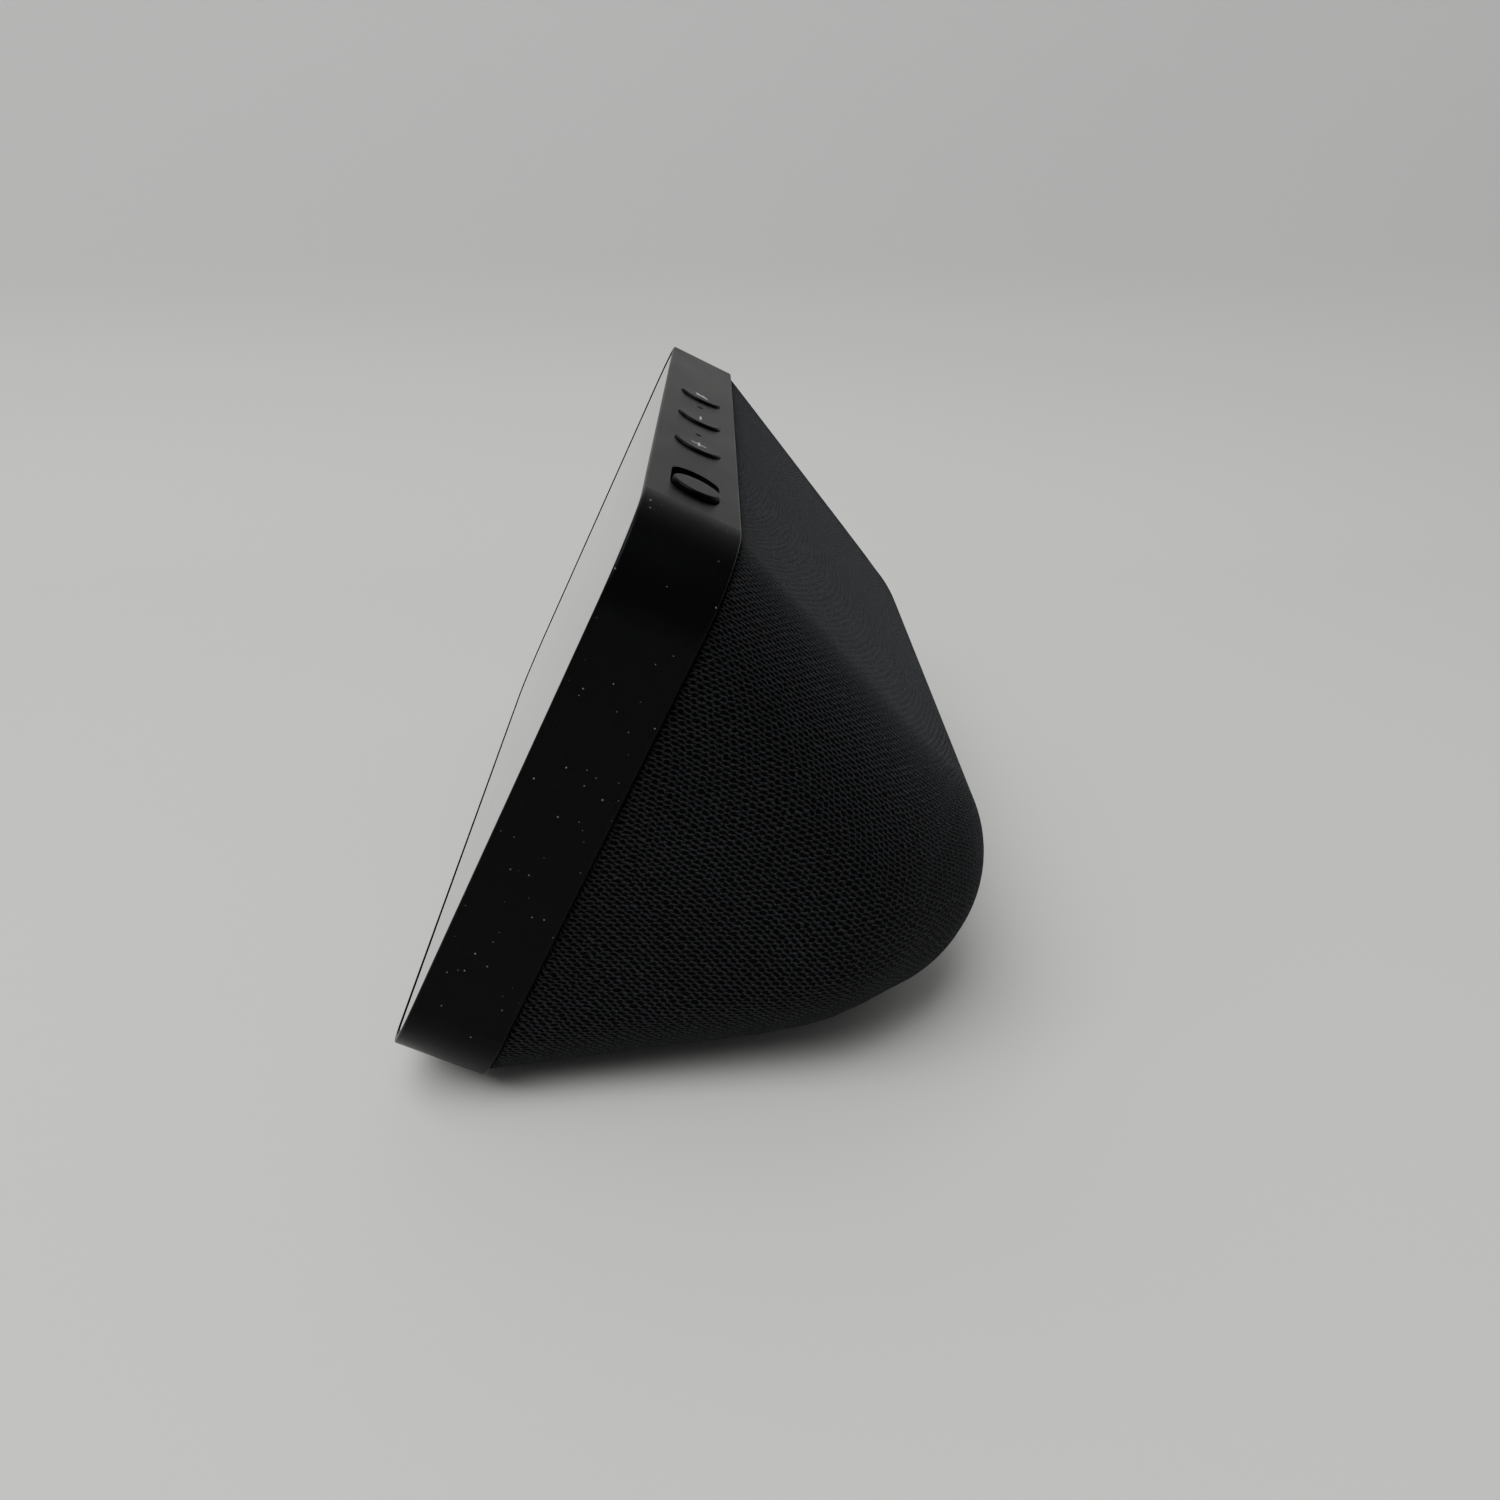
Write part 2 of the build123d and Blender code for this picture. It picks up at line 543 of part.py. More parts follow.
# ---------------------------------------------------------------- speaker
MOUNT_Z = -4.7                    # front of the baffle, where the basket's flange sits
FLANGE_FRONT = MOUNT_Z + 1.0
BASKET_TOP, BASKET_LOW = 17.6, 14.2
MAGNET_RADIUS = 13.0
PLATE_Z = -13.4                   # front of the magnet's top plate
DRIVER_SCREWS = [(x, y) for x in (-18.2, 18.2) for y in (-18.2, 18.2)]


def turned(points):
    """Solid of revolution about Z from (radius, height) points."""
    return revolve(Plane.XZ * make_face(Polyline(*points, close=True)), Axis.Z)


def speaker_basket():
    """Pressed frame: square flange, windowed cone wall, and a seat ring on the magnet."""
    flange = Pos(0, 0, MOUNT_Z) * extrude(RectangleRounded(DRIVER_SIDE, DRIVER_SIDE, 5.0), 1.0)
    wall = turned([(BASKET_TOP, MOUNT_Z), (BASKET_TOP + 0.8, MOUNT_Z), (BASKET_LOW + 0.8, PLATE_Z),
                   (9.0, PLATE_Z), (9.0, PLATE_Z + 0.8), (BASKET_LOW, PLATE_Z + 0.8)])
    shelf = ring(BASKET_LOW + 0.7, 13.0, -12.4, -11.8)
    basket = flange - rod(BASKET_TOP - 1.4, -6, 0) + wall + shelf
    window = block((-5.0, 5.0), (10.0, 20.0), (-11.5, -7.0))
    for turn in range(4):
        basket -= Rot(0, 0, 90 * turn + 45) * window
    for x, y in DRIVER_SCREWS:
        basket -= rod(1.0, -6, 0, x, y)
    return basket


def speaker_cone():
    """Paper cone, as a thin dish between the voice coil and the surround."""
    low, high, thick, rim = -10.6, -6.3, 0.4, CONE_RADIUS + 0.9
    return turned([(COIL_RADIUS, low), (CONE_RADIUS, high), (rim, high), (rim, high + thick),
                   (CONE_RADIUS, high + thick), (COIL_RADIUS, low + thick)])


def dust_cap():
    """Domed cap over the voice coil, glued to the cone."""
    rise, radius = 2.6, COIL_RADIUS - 0.1
    ball = (radius * radius + rise * rise) / (2 * rise)
    seat = -10.15
    outer = Pos(0, 0, seat + rise - ball) * Sphere(ball)
    inner = Pos(0, 0, seat + rise - ball) * Sphere(ball - 0.3)
    return (outer - inner) & rod(radius, seat, seat + 5)


def voice_coil():
    return ring(COIL_RADIUS, COIL_RADIUS - 0.35, -17.2, -10.6)


def surround():
    """Half-roll rubber edge between the cone and the basket."""
    inner, outer, seat, thick = CONE_RADIUS + 0.9, BASKET_TOP - 1.5, -5.9, 0.35
    middle, half = (inner - 0.9 + outer) / 2, (outer - inner + 0.9) / 2
    roll = Circle(half) - Circle(half - thick)
    roll &= Pos(0, half) * Rectangle(2 * half, 2 * half)
    return revolve(Plane.XZ * (Pos(middle, seat) * roll), Axis.Z)


def spider():
    """Corrugated cloth disc that centres the voice coil."""
    low, high, thick, waves = COIL_RADIUS + 0.05, 14.3, 0.3, 3
    step = (high - low) / (2 * waves)
    ridge = [(low + step * k, -11.8 + (0.5 if k % 2 else 0.0)) for k in range(2 * waves + 1)]
    over = [(radius, height + thick) for radius, height in reversed(ridge)]
    return turned(ridge + over)


def speaker_magnet():
    return ring(MAGNET_RADIUS, 8.2, PLATE_Z - 5.5, PLATE_Z - 1.5)


def top_pole_plate():
    return ring(MAGNET_RADIUS, COIL_RADIUS + 0.35, PLATE_Z - 1.5, PLATE_Z)


def pole_piece():
    """Steel back plate with the centre pole."""
    return rod(MAGNET_RADIUS, PLATE_Z - 7.0, PLATE_Z - 5.5) + rod(COIL_RADIUS - 0.7, PLATE_Z - 5.6, PLATE_Z + 0.3)


def speaker_gasket():
    """Foam ring between the driver's flange and the shell."""
    return ring(20.4, 17.8, FLANGE_FRONT, -SHELL_IN - 0.02)


def speaker_baffle():
    """Front wall of the speaker box, with ears that screw to the shell."""
    width, height = BAFFLE_SIZE
    plate = Pos(0, 0, MOUNT_Z - 1.6) * extrude(RectangleRounded(width, height, 3.0), 1.6)
    plate -= rod(BASKET_TOP + 1.1, -10, 0)
    for x, y in BOX_SCREWS:
        plate -= rod(1.1, -10, 0, x, y)
    for x, y in DRIVER_SCREWS:
        plate -= rod(0.75, -10, 0, x, y)
    return plate


def box_space(grow, front):
    """Space of the speaker box, cut off parallel to the screen so that it clears the main board."""
    x, y = BOX_SIZE[0] / 2 + grow, BOX_SIZE[1] / 2 + grow
    space = SLOPE * block((-x, x), (-y, y), (BOX_BACK - grow, front))
    behind = FACE * face_slab((200, 200), BOX_NEAREST_DEPTH - grow, 120)
    return space & behind


def speaker_box():
    return box_space(0.0, MOUNT_Z - 1.6) - box_space(-BOX_WALL, 0.0)


# ---------------------------------------------------------------- cables held inside
def ribbon(points, radius, width, thick=0.2):
    """Flat ribbon cable: a bent line in the face frame's depth-rise plane, given a width along X."""
    line = FilletPolyline(*points, radius=radius)
    strip = trace(line, thick)
    return extrude(Plane.YZ * strip, width / 2, both=True)


def display_flex():
    """From the panel's lower edge, round under the bracket, up to the main board."""
    low = PANEL_RISE - PANEL_SIZE[1] / 2
    points = [(1.9, low), (1.9, low - 3.6), (11.6, low - 3.6), (11.6, low + 9.0)]
    return Pos(-20, 0, 0) * ribbon(points, 1.2, 22.0)


def button_flex():
    """From the button board down to the main board's top connector."""
    return block((-9.0, 1.0), (11.2, 11.4), (62.4, 79.2))


def camera_flex():
    """From the camera down the back of the bracket to the main board."""
    x = (CAMERA_X - 2.5, CAMERA_X + 2.5)
    tail = block(x, (7.0, 7.2), (56.0, 80.0))
    return tail + block((39.3, CAMERA_X + 2.5), (7.0, 7.2), (50.0, 56.0))


def wire(points, radius, bend):
    """Round insulated wire along straight runs joined by arcs."""
    path = FilletPolyline(*points, radius=bend)
    start = Plane(origin=path @ 0, z_dir=path % 0)
    return sweep(start * Circle(radius), path)


def power_wires():
    """Two wires from the power board up to the main board."""
    pair = []
    for side in (-1, 1):
        x = INLET_X + 3.0 * side
        points = [(x, BOARD_FAR + 0.1, 26.0), (x, 22.0, 26.0), (x, 36.0, 31.0), (x, 46.4, 28.2)]
        pair.append(FACE * wire(points, 0.6, 5.0))
    return pair


# ---------------------------------------------------------------- write every node
def main():
    os.makedirs("parts", exist_ok=True)

    save("front_glass", front_glass(), FACE)
    save("glass_tape", glass_tape(), FACE)
    save("lcd_panel", face_slab(PANEL_SIZE, LEDGE_NEAR, PANEL_FAR, 1.0, rise=PANEL_RISE), FACE)
    guide_size = (PANEL_SIZE[0] - 2.4, PANEL_SIZE[1] - 2.4)
    save("light_guide", face_slab(guide_size, PANEL_FAR, GUIDE_FAR, 1.0, rise=PANEL_RISE), FACE)
    save("backlight_tray", backlight_tray(), FACE)
    save("display_bracket", display_bracket(), FACE)
    save("front_frame", front_frame(), FACE)

    for name, x in BUTTON_X.items():
        save(f"{name}_button", Pos(x, 0, 0) * button(), FACE)
        save(f"{name}_switch_plunger", Pos(x, 0, 0) * switch_plunger(), FACE)
    save("switch_bodies", [Pos(x, 0, 0) * switch_body() for x in BUTTON_X.values()], FACE)
    save("button_board", button_board(), FACE)
    save("microphones", [Pos(x, 0, 0) * microphone() for x in MICROPHONE_X], FACE)
    save("microphone_gaskets", [Pos(x, 0, 0) * microphone_gasket() for x in MICROPHONE_X], FACE)
    save("shutter_slide", shutter_slide(), FACE)
    save("camera_module", camera_module(), FACE)
    save("camera_lens", camera_lens(), FACE)
    save("light_sensor", light_sensor(), FACE)

    save("main_board", main_board(), FACE)
    save("shield_cans", [shield_can(x, rise) for x, rise in CANS], FACE)
    save("board_chips", [board_chip(x, rise) for x, rise in CANS], FACE)
    save("thermal_pads", [thermal_pad(x, rise) for x, rise in CANS], FACE)

    save("rear_shell", rear_shell())
    save("fabric_cover", fabric_cover())
    save("base_plate", base_plate())
    save("rubber_foot", rubber_foot())
    save("base_magnets", [rod(6.0, 4.8, 7.8, x, BASE_Y) for x in (-MAGNET_X, MAGNET_X)])
    save("port_plate", port_plate())
    save("dc_jack", dc_jack())
    save("dc_jack_pin", dc_jack_pin())
    save("power_board", power_board())

    save("speaker_basket", speaker_basket(), SLOPE)
    save("speaker_cone", speaker_cone(), SLOPE)
    save("dust_cap", dust_cap(), SLOPE)
    save("voice_coil", voice_coil(), SLOPE)
    save("surround", surround(), SLOPE)
    save("spider", spider(), SLOPE)
    save("speaker_magnet", speaker_magnet(), SLOPE)
    save("top_pole_plate", top_pole_plate(), SLOPE)
    save("pole_piece", pole_piece(), SLOPE)
    save("speaker_gasket", speaker_gasket(), SLOPE)
    save("speaker_baffle", speaker_baffle(), SLOPE)
    save("speaker_box", speaker_box())

    save("display_flex", display_flex(), FACE)
    save("button_flex", button_flex(), FACE)
    save("camera_flex", camera_flex(), FACE)
    save("power_wires", power_wires())

    into_face = Rot(90, 0, 0)
    save("frame_screws", [Pos(x, LUG_NEAR, rise) * into_face * screw(2.5, 1.3, 1.2, 10.0)
                          for x, rise in FRAME_SCREWS], FACE)
    save("bracket_screws", [Pos(x, TRAY_FAR, rise) * into_face * screw(2.0, 0.9, 1.0, 5.0)
                            for x, rise in BRACKET_SCREWS], FACE)
    save("board_screws", [Pos(x, BOARD_FAR, rise) * into_face.inverse() * screw(2.0, 1.0, 1.0, 3.9)
                          for x, rise in BOARD_SCREWS], FACE)
    save("button_board_screws", [Pos(x, SCREW_DEPTH, BOARD_RISE) * Rot(180, 0, 0) * screw(1.4, 0.8, 0.7, 4.0)
                                 for x in BUTTON_BOARD_SCREWS], FACE)
    save("base_screws", [Pos(x, y, FOOT_TOP + 0.6) * Rot(180, 0, 0) * screw(2.3, 0.55, 1.2, 7.5, 0.3)
                         for x, y in BASE_SCREWS])
    save("power_board_screws", [Pos(x, POWER_POST_Y, POWER_BOARD_Z + 1.2) * screw(1.8, 0.9, 0.9, 4.5)
                                for x in POWER_POSTS])
    save("driver_screws", [Pos(x, y, FLANGE_FRONT) * screw(1.5, 0.6, 0.7, 2.4, 0.3)
                           for x, y in DRIVER_SCREWS], SLOPE)
    save("box_screws", [Pos(x, y, MOUNT_Z - 1.6) * Rot(180, 0, 0) * screw(1.9, 0.9, 0.9, 3.4)
                        for x, y in BOX_SCREWS], SLOPE)


main()
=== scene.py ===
# %% [markdown]
# # A tabletop smart speaker with a leaning screen
# The speaker is a sheet of cover glass in a deep black frame, with a wedge behind it that is wrapped
# in charcoal knitted mesh. Every hard part comes from the imported model and stays exactly where it is.
# This lesson gives each one a finish, knits the cloth cover as a worked-out surface, and prints the
# small marks on the keys. Each cell makes one thing, and most print what they made.

# %% Load the imported model
import json
import math

import bmesh
import bpy
import numpy as np
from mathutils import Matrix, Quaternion, Vector


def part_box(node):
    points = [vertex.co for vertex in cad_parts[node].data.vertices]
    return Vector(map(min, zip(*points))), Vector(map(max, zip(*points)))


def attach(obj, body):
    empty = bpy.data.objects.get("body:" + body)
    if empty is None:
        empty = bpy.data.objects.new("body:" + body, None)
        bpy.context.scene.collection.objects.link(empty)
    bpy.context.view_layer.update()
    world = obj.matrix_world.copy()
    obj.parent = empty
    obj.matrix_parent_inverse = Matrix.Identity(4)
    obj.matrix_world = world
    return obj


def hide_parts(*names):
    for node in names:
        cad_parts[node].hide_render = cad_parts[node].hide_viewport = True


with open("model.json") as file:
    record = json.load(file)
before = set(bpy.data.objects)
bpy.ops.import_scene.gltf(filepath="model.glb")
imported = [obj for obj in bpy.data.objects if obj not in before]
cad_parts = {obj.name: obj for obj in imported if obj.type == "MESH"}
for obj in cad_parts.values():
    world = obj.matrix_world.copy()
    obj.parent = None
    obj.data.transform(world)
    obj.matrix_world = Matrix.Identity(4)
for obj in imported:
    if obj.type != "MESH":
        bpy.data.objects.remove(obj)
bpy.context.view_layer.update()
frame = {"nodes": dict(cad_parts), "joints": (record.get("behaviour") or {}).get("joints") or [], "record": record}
SLOT_OF = {part["node"]: part["material_slot"] for part in frame["record"]["subparts"]}

# %% [markdown]
# ## The leaning face as a frame of reference
# The frame, the keys and the knit all follow the screen, which leans back. So positions are easier to
# say as a depth behind the screen and a rise up it. The lean could be typed in, but the keys' travel
# in the record already points straight down the screen, so it is read from there, and the frame's
# box then gives how deep and how tall the frame is. The box of a leaning slab mixes the two, and its
# rounded edges shave a little off, which is put back first.

# %% The face's directions, depth and height
MM = 0.001
PRESS = next(joint for joint in frame["joints"] if joint["name"] == "volume_up_press")
UP = -np.array(PRESS["axis"], float)
BACK = np.array([0.0, UP[2], -UP[1]])
LEAN = math.asin(UP[1])
EDGE_ROUND = 0.35 * MM            # rounding of the frame's long edges, which keeps its box a hair small
low, high = (np.array(corner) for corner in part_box("front_frame"))
SHAVED = EDGE_ROUND * (math.cos(LEAN) + math.sin(LEAN) - 1)
tall, deep = (high - low)[2] + 2 * SHAVED, (high - low)[1] + 2 * SHAVED
FACE_HEIGHT = (tall * math.cos(LEAN) - deep * math.sin(LEAN)) / math.cos(2 * LEAN)
FRAME_DEPTH = (deep * math.cos(LEAN) - tall * math.sin(LEAN)) / math.cos(2 * LEAN)
WIDTH = (high - low)[0]
ORIGIN = np.array([0.0, low[1] - SHAVED, low[2] - SHAVED + FRAME_DEPTH * math.sin(LEAN)])


def from_face(x, depth, rise):
    """World points of face coordinates: origin + x along X + depth behind the screen + rise up it."""
    along = np.multiply.outer(np.asarray(x, float), [1.0, 0.0, 0.0])
    return ORIGIN + along + np.multiply.outer(np.asarray(depth, float), BACK) + np.multiply.outer(
        np.asarray(rise, float), UP)


def face_box(node):
    """Lowest and highest face coordinates of a part: each corner measured along X, BACK and UP."""
    mesh = frame["nodes"][node].data
    places = np.empty(3 * len(mesh.vertices))
    mesh.vertices.foreach_get("co", places)
    local = (places.reshape(-1, 3) - ORIGIN) @ np.stack([[1.0, 0.0, 0.0], BACK, UP]).T
    return local.min(axis=0), local.max(axis=0)


print(f"face {WIDTH / MM:.1f} x {FACE_HEIGHT / MM:.1f} mm, {FRAME_DEPTH / MM:.1f} mm deep, "
      f"leaning {math.degrees(LEAN):.1f} degrees")

# %% [markdown]
# ## Writing shader maths as Python
# A finish is a network of nodes, and most of it is arithmetic. Wrapping a socket in a small class
# lets that arithmetic be written as it would be on paper, with one Math node for each operation.
# Everything else, such as a noise or a bump, comes from one method that sets the node up and wires it.

# %% Sockets that take Python operators
class Signal:
    """An output socket that can be added, multiplied and compared like a number."""

    def __init__(self, finish, node, output=0):
        self.finish, self.maker, self.socket = finish, node, node.outputs[output]

    def also(self, output):
        """Another output of the same node."""
        return Signal(self.finish, self.maker, output)

    def math(self, operation, *values):
        return self.finish.node("ShaderNodeMath", {"operation": operation}, dict(enumerate(values)))

    def __add__(self, other):
        return self.math("ADD", self, other)

    def __sub__(self, other):
        return self.math("SUBTRACT", self, other)

    def __rsub__(self, other):
        return self.math("SUBTRACT", other, self)

    def __mul__(self, other):
        return self.math("MULTIPLY", self, other)

    def __truediv__(self, other):
        return self.math("DIVIDE", self, other)

    def __gt__(self, other):
        return self.math("GREATER_THAN", self, other)

    def __lt__(self, other):
        return self.math("LESS_THAN", self, other)

    __radd__, __rmul__ = __add__, __mul__

    def cosine(self):
        """Cosine of a whole turn for each unit, so it repeats every 1."""
        return self.math("COSINE", self * math.tau)

    def size(self):
        return self.math("ABSOLUTE", self)

    def either(self, other):
        return self.math("MAXIMUM", self, other)

    def step(self, start, end):
        """Eased ramp: 0 before start and 1 after end."""
        return self.finish.node("ShaderNodeMapRange", {"interpolation_type": "SMOOTHSTEP"},
                                {"Value": self, "From Min": start, "From Max": end})


class Finish:
    """One material and the nodes in it."""

    def __init__(self, name):
        self.material = bpy.data.materials.new(name)
        self.material.use_nodes = True
        self.tree = self.material.node_tree
        self.tree.nodes.clear()

    def node(self, kind, settings=None, inputs=None, output=0):
        """A new node: its settings first, then the value or link of each input socket."""
        made = self.tree.nodes.new(kind)
        for name, value in (settings or {}).items():
            setattr(made, name, value)
        for key, value in (inputs or {}).items():
            if isinstance(value, Signal):
                self.tree.links.new(value.socket, made.inputs[key])
            else:
                made.inputs[key].default_value = value
        return Signal(self, made, output)

    def place(self, turn=(0, 0, 0), stretch=(1, 1, 1)):
        """Object coordinates in metres, turned and stretched where a pattern has a direction."""
        here = self.node("ShaderNodeTexCoord", output="Object")
        return self.node("ShaderNodeMapping", {}, {"Vector": here, "Rotation": turn, "Scale": stretch})

    def noise(self, where, scale, detail=3.0, roughness=0.55):
        return self.node("ShaderNodeTexNoise", {"noise_dimensions": "3D"},
                         {"Vector": where, "Scale": scale, "Detail": detail, "Roughness": roughness})

    def tint(self, share, first, second):
        """Colour between first and second, by share."""
        return self.node("ShaderNodeMix", {"data_type": "RGBA"},
                         {0: share, 6: first, 7: second}, output=2)

    def bump(self, height, distance, strength=1.0):
        return self.node("ShaderNodeBump", {},
                         {"Height": height, "Distance": distance, "Strength": strength}, "Normal")

    def shader(self, **sockets):
        """A Principled shader; socket names have _ for a space."""
        named = {name.replace("_", " "): value for name, value in sockets.items()}
        return self.node("ShaderNodeBsdfPrincipled", {}, named)

    def done(self, shader):
        out = self.tree.nodes.new("ShaderNodeOutputMaterial")
        self.tree.links.new(shader.socket, out.inputs["Surface"])
        return self.material


def grey(level, blue=1.0):
    """A grey with a slight blue cast."""
    return (level, level, level * blue, 1.0)


FINISHES = {}
print("shader helpers ready")

# %% [markdown]
# ## Black moulded plastic
# The frame is moulded in black plastic from a tool with a very fine spark texture. It is matte, but
# seen along its surface it still takes a pale reflection from the room. So the colour is almost
# black, the bump is a fine grain, and the roughness wanders a little where hands have polished it.
# Pale dust sits on it in a few specks. A painted speck map would do, but a cell pattern with most
# cells left empty gives them at any scale and on every side.

# %% Plastic with fine grain and dust
COOL = (0.9, 0.95, 1.0, 1.0)      # black plastic and yarn shine a little blue
SPECK_SPACING = 1.3 * MM
SPECK_RADIUS = 0.08               # of a middling speck, as a share of their spacing
SPECK_COLOUR = grey(0.2)
SPARK_DETAIL, POLISH_DETAIL = 4200.0, 60.0    # noise waves in a metre: spark texture, and wear


def moulded_plastic(name, level, rough, specks=0.5, grain=0.02 * MM):
    """Matte black plastic: grain in the bump, soft polish in the roughness, and specks of dust."""
    finish = Finish(name)
    here = finish.place()
    fine = finish.noise(here, SPARK_DETAIL, 2.0)
    soft = finish.noise(here, POLISH_DETAIL, 3.0)
    cells = finish.node("ShaderNodeTexVoronoi", {"feature": "F1"},
                        {"Vector": here, "Scale": 1 / SPECK_SPACING, "Randomness": 1.0}, "Distance")
    drawn = finish.node("ShaderNodeSeparateColor", {}, {"Color": cells.also("Color")})
    size = SPECK_RADIUS * (0.4 + drawn.also("Green"))
    dust = (cells < size) * (drawn > 1 - specks)
    colour = finish.tint(soft.step(0.35, 0.7), grey(level, 1.12), grey(level * 1.35, 1.1))
    colour = finish.tint(dust * (0.15 + 0.85 * drawn.also("Blue")), colour, SPECK_COLOUR)
    roughness = rough + 0.10 * (soft - 0.5) + 0.05 * (fine - 0.5) + 0.2 * dust
    normal = finish.bump(fine + 0.6 * dust, grain)
    return finish.done(finish.shader(Base_Color=colour, Roughness=roughness, Normal=normal,
                                     Specular_IOR_Level=0.085, Specular_Tint=COOL))


FINISHES["frame_plastic"] = moulded_plastic("frame_plastic", 0.001, 0.38)
FINISHES["button_plastic"] = moulded_plastic("button_plastic", 0.0011, 0.37, specks=0.15)
FINISHES["shell_plastic"] = moulded_plastic("shell_plastic", 0.006, 0.5, specks=0.1)
FINISHES["inner_plastic"] = moulded_plastic("inner_plastic", 0.05, 0.6, specks=0.0)
print("black plastics:", sorted(FINISHES))

# %% [markdown]
# ## Cover glass
# The glass is printed black on its back, apart from the picture area, which is a shade deeper when
# the screen is off, and a small round window for the camera. The print and the window are worked out
# from face coordinates, so a Mapping node turns the pattern to the screen's lean. The window is real
# clear glass, so the lens shows through it.

# %% Glass with its printed border and camera window
PICTURE_SIZE = (121.0 * MM, 62.0 * MM)
WINDOW_RADIUS = 2.3 * MM


def cover_glass():
    """Gloss black glass: distance from the picture's edge and from the window choose what shows."""
    finish = Finish("cover_glass")
    here = finish.place(turn=(LEAN, 0, 0))
    apart = finish.node("ShaderNodeSeparateXYZ", {}, {"Vector": here})
    x, rise = apart, apart.also("Z") - float(ORIGIN @ UP)
    panel, lens = sum(face_box("lcd_panel")) / 2, sum(face_box("camera_lens")) / 2
    over = (x.size() - PICTURE_SIZE[0] / 2).either((rise - float(panel[2])).size() - PICTURE_SIZE[1] / 2)
    border = over.step(-0.1 * MM, 0.1 * MM)
    aside, above = x - float(lens[0]), rise - float(lens[2])
    window = (aside * aside + above * above) < WINDOW_RADIUS ** 2
    smears = finish.noise(here, 35.0, 4.0)
    colour = finish.tint(border, grey(0.0025, 1.2), grey(0.006, 1.05))
    roughness = 0.035 + 0.05 * smears.step(0.5, 0.8)
    printed = finish.shader(Base_Color=colour, Roughness=roughness, IOR=1.52)
    clear = finish.shader(Base_Color=grey(1.0), Roughness=0.0, IOR=1.45, Transmission_Weight=1.0)
    shown = finish.node("ShaderNodeMixShader", {}, {0: window, 1: printed, 2: clear})
    return finish.done(shown)


FINISHES["cover_glass"] = cover_glass()
print("glass with a picture area of", [round(side / MM) for side in PICTURE_SIZE], "mm")

# %% [markdown]
# ## Finishes for what is inside
# Few of these parts are ever seen, but they are real parts with real surfaces, and someone may open
# the model up. Most are one base colour that drifts into a second, with its own grain. The metals
# get a grain that is stretched one way by rolling or turning, and the boards get copper under green.

# %% A worked surface in two colours
def worked(name, first, second, grain_size, rough, metal=0.0, stretch=(1, 1, 1), depth=0.02 * MM, **fixed):
    """Two colours mixed by noise of one grain size; the same noise drives the bump and the gloss."""
    finish = Finish(name)
    here = finish.place(stretch=stretch)
    grain = finish.noise(here, 1 / grain_size, 4.0)
    patch = finish.noise(here, 0.12 / grain_size, 2.0)
    colour = finish.tint(grain.step(0.3, 0.7), (*first, 1.0), (*second, 1.0))
    roughness = rough + 0.12 * (grain - 0.5) + 0.1 * (patch - 0.5)
    normal = finish.bump(grain, depth)
    return finish.done(finish.shader(Base_Color=colour, Roughness=roughness, Metallic=metal,
                                     Normal=normal, **fixed))


ROLLED = (1, 1, 12)
FINISHES["rubber"] = worked("rubber", (0.011, 0.011, 0.011), (0.02, 0.02, 0.021), 0.5 * MM, 0.75)
FINISHES["light_plastic"] = worked("light_plastic", (0.66, 0.67, 0.66), (0.8, 0.81, 0.79), 3 * MM, 0.4)
FINISHES["steel"] = worked("steel", (0.42, 0.42, 0.43), (0.6, 0.6, 0.6), 0.4 * MM, 0.32, 1.0, ROLLED)
FINISHES["aluminium"] = worked("aluminium", (0.55, 0.55, 0.57), (0.68, 0.68, 0.7), 0.5 * MM, 0.38, 1.0,
                               ROLLED)
FINISHES["ferrite"] = worked("ferrite", (0.035, 0.035, 0.038), (0.08, 0.08, 0.085), 0.25 * MM, 0.7)
FINISHES["cone_paper"] = worked("cone_paper", (0.018, 0.018, 0.019), (0.05, 0.05, 0.05), 0.6 * MM, 0.85,
                                stretch=(1, 3, 1), Sheen_Weight=0.2)
FINISHES["foam"] = worked("foam", (0.02, 0.02, 0.02), (0.06, 0.06, 0.06), 0.35 * MM, 0.9, depth=0.15 * MM)
FINISHES["chip"] = worked("chip", (0.012, 0.012, 0.012), (0.03, 0.03, 0.03), 0.15 * MM, 0.45)
FINISHES["flex_film"] = worked("flex_film", (0.25, 0.1, 0.015), (0.42, 0.2, 0.04), 4 * MM, 0.3,
                               stretch=(6, 1, 1))
FINISHES["lens"] = worked("lens", (0.004, 0.004, 0.012), (0.012, 0.006, 0.03), 2 * MM, 0.12,
                          Coat_Weight=1.0, Coat_Roughness=0.02)
print(len(FINISHES), "finishes so far")

# %% [markdown]
# ## Two finishes with a pattern of their own
# A circuit board is green over copper tracks, and a voice coil is wire laid side by side. Both could
# be modelled, at thousands of faces each for parts that are hidden. A pattern in the finish is enough:
# the edges between cells make tracks, and a cosine across the winding makes the turns of wire, with
# painted shade darkening the grooves between the turns.

# %% Circuit board and voice coil
TRACK_PITCH = 1.6 * MM
WIRE_PITCH = 0.18 * MM


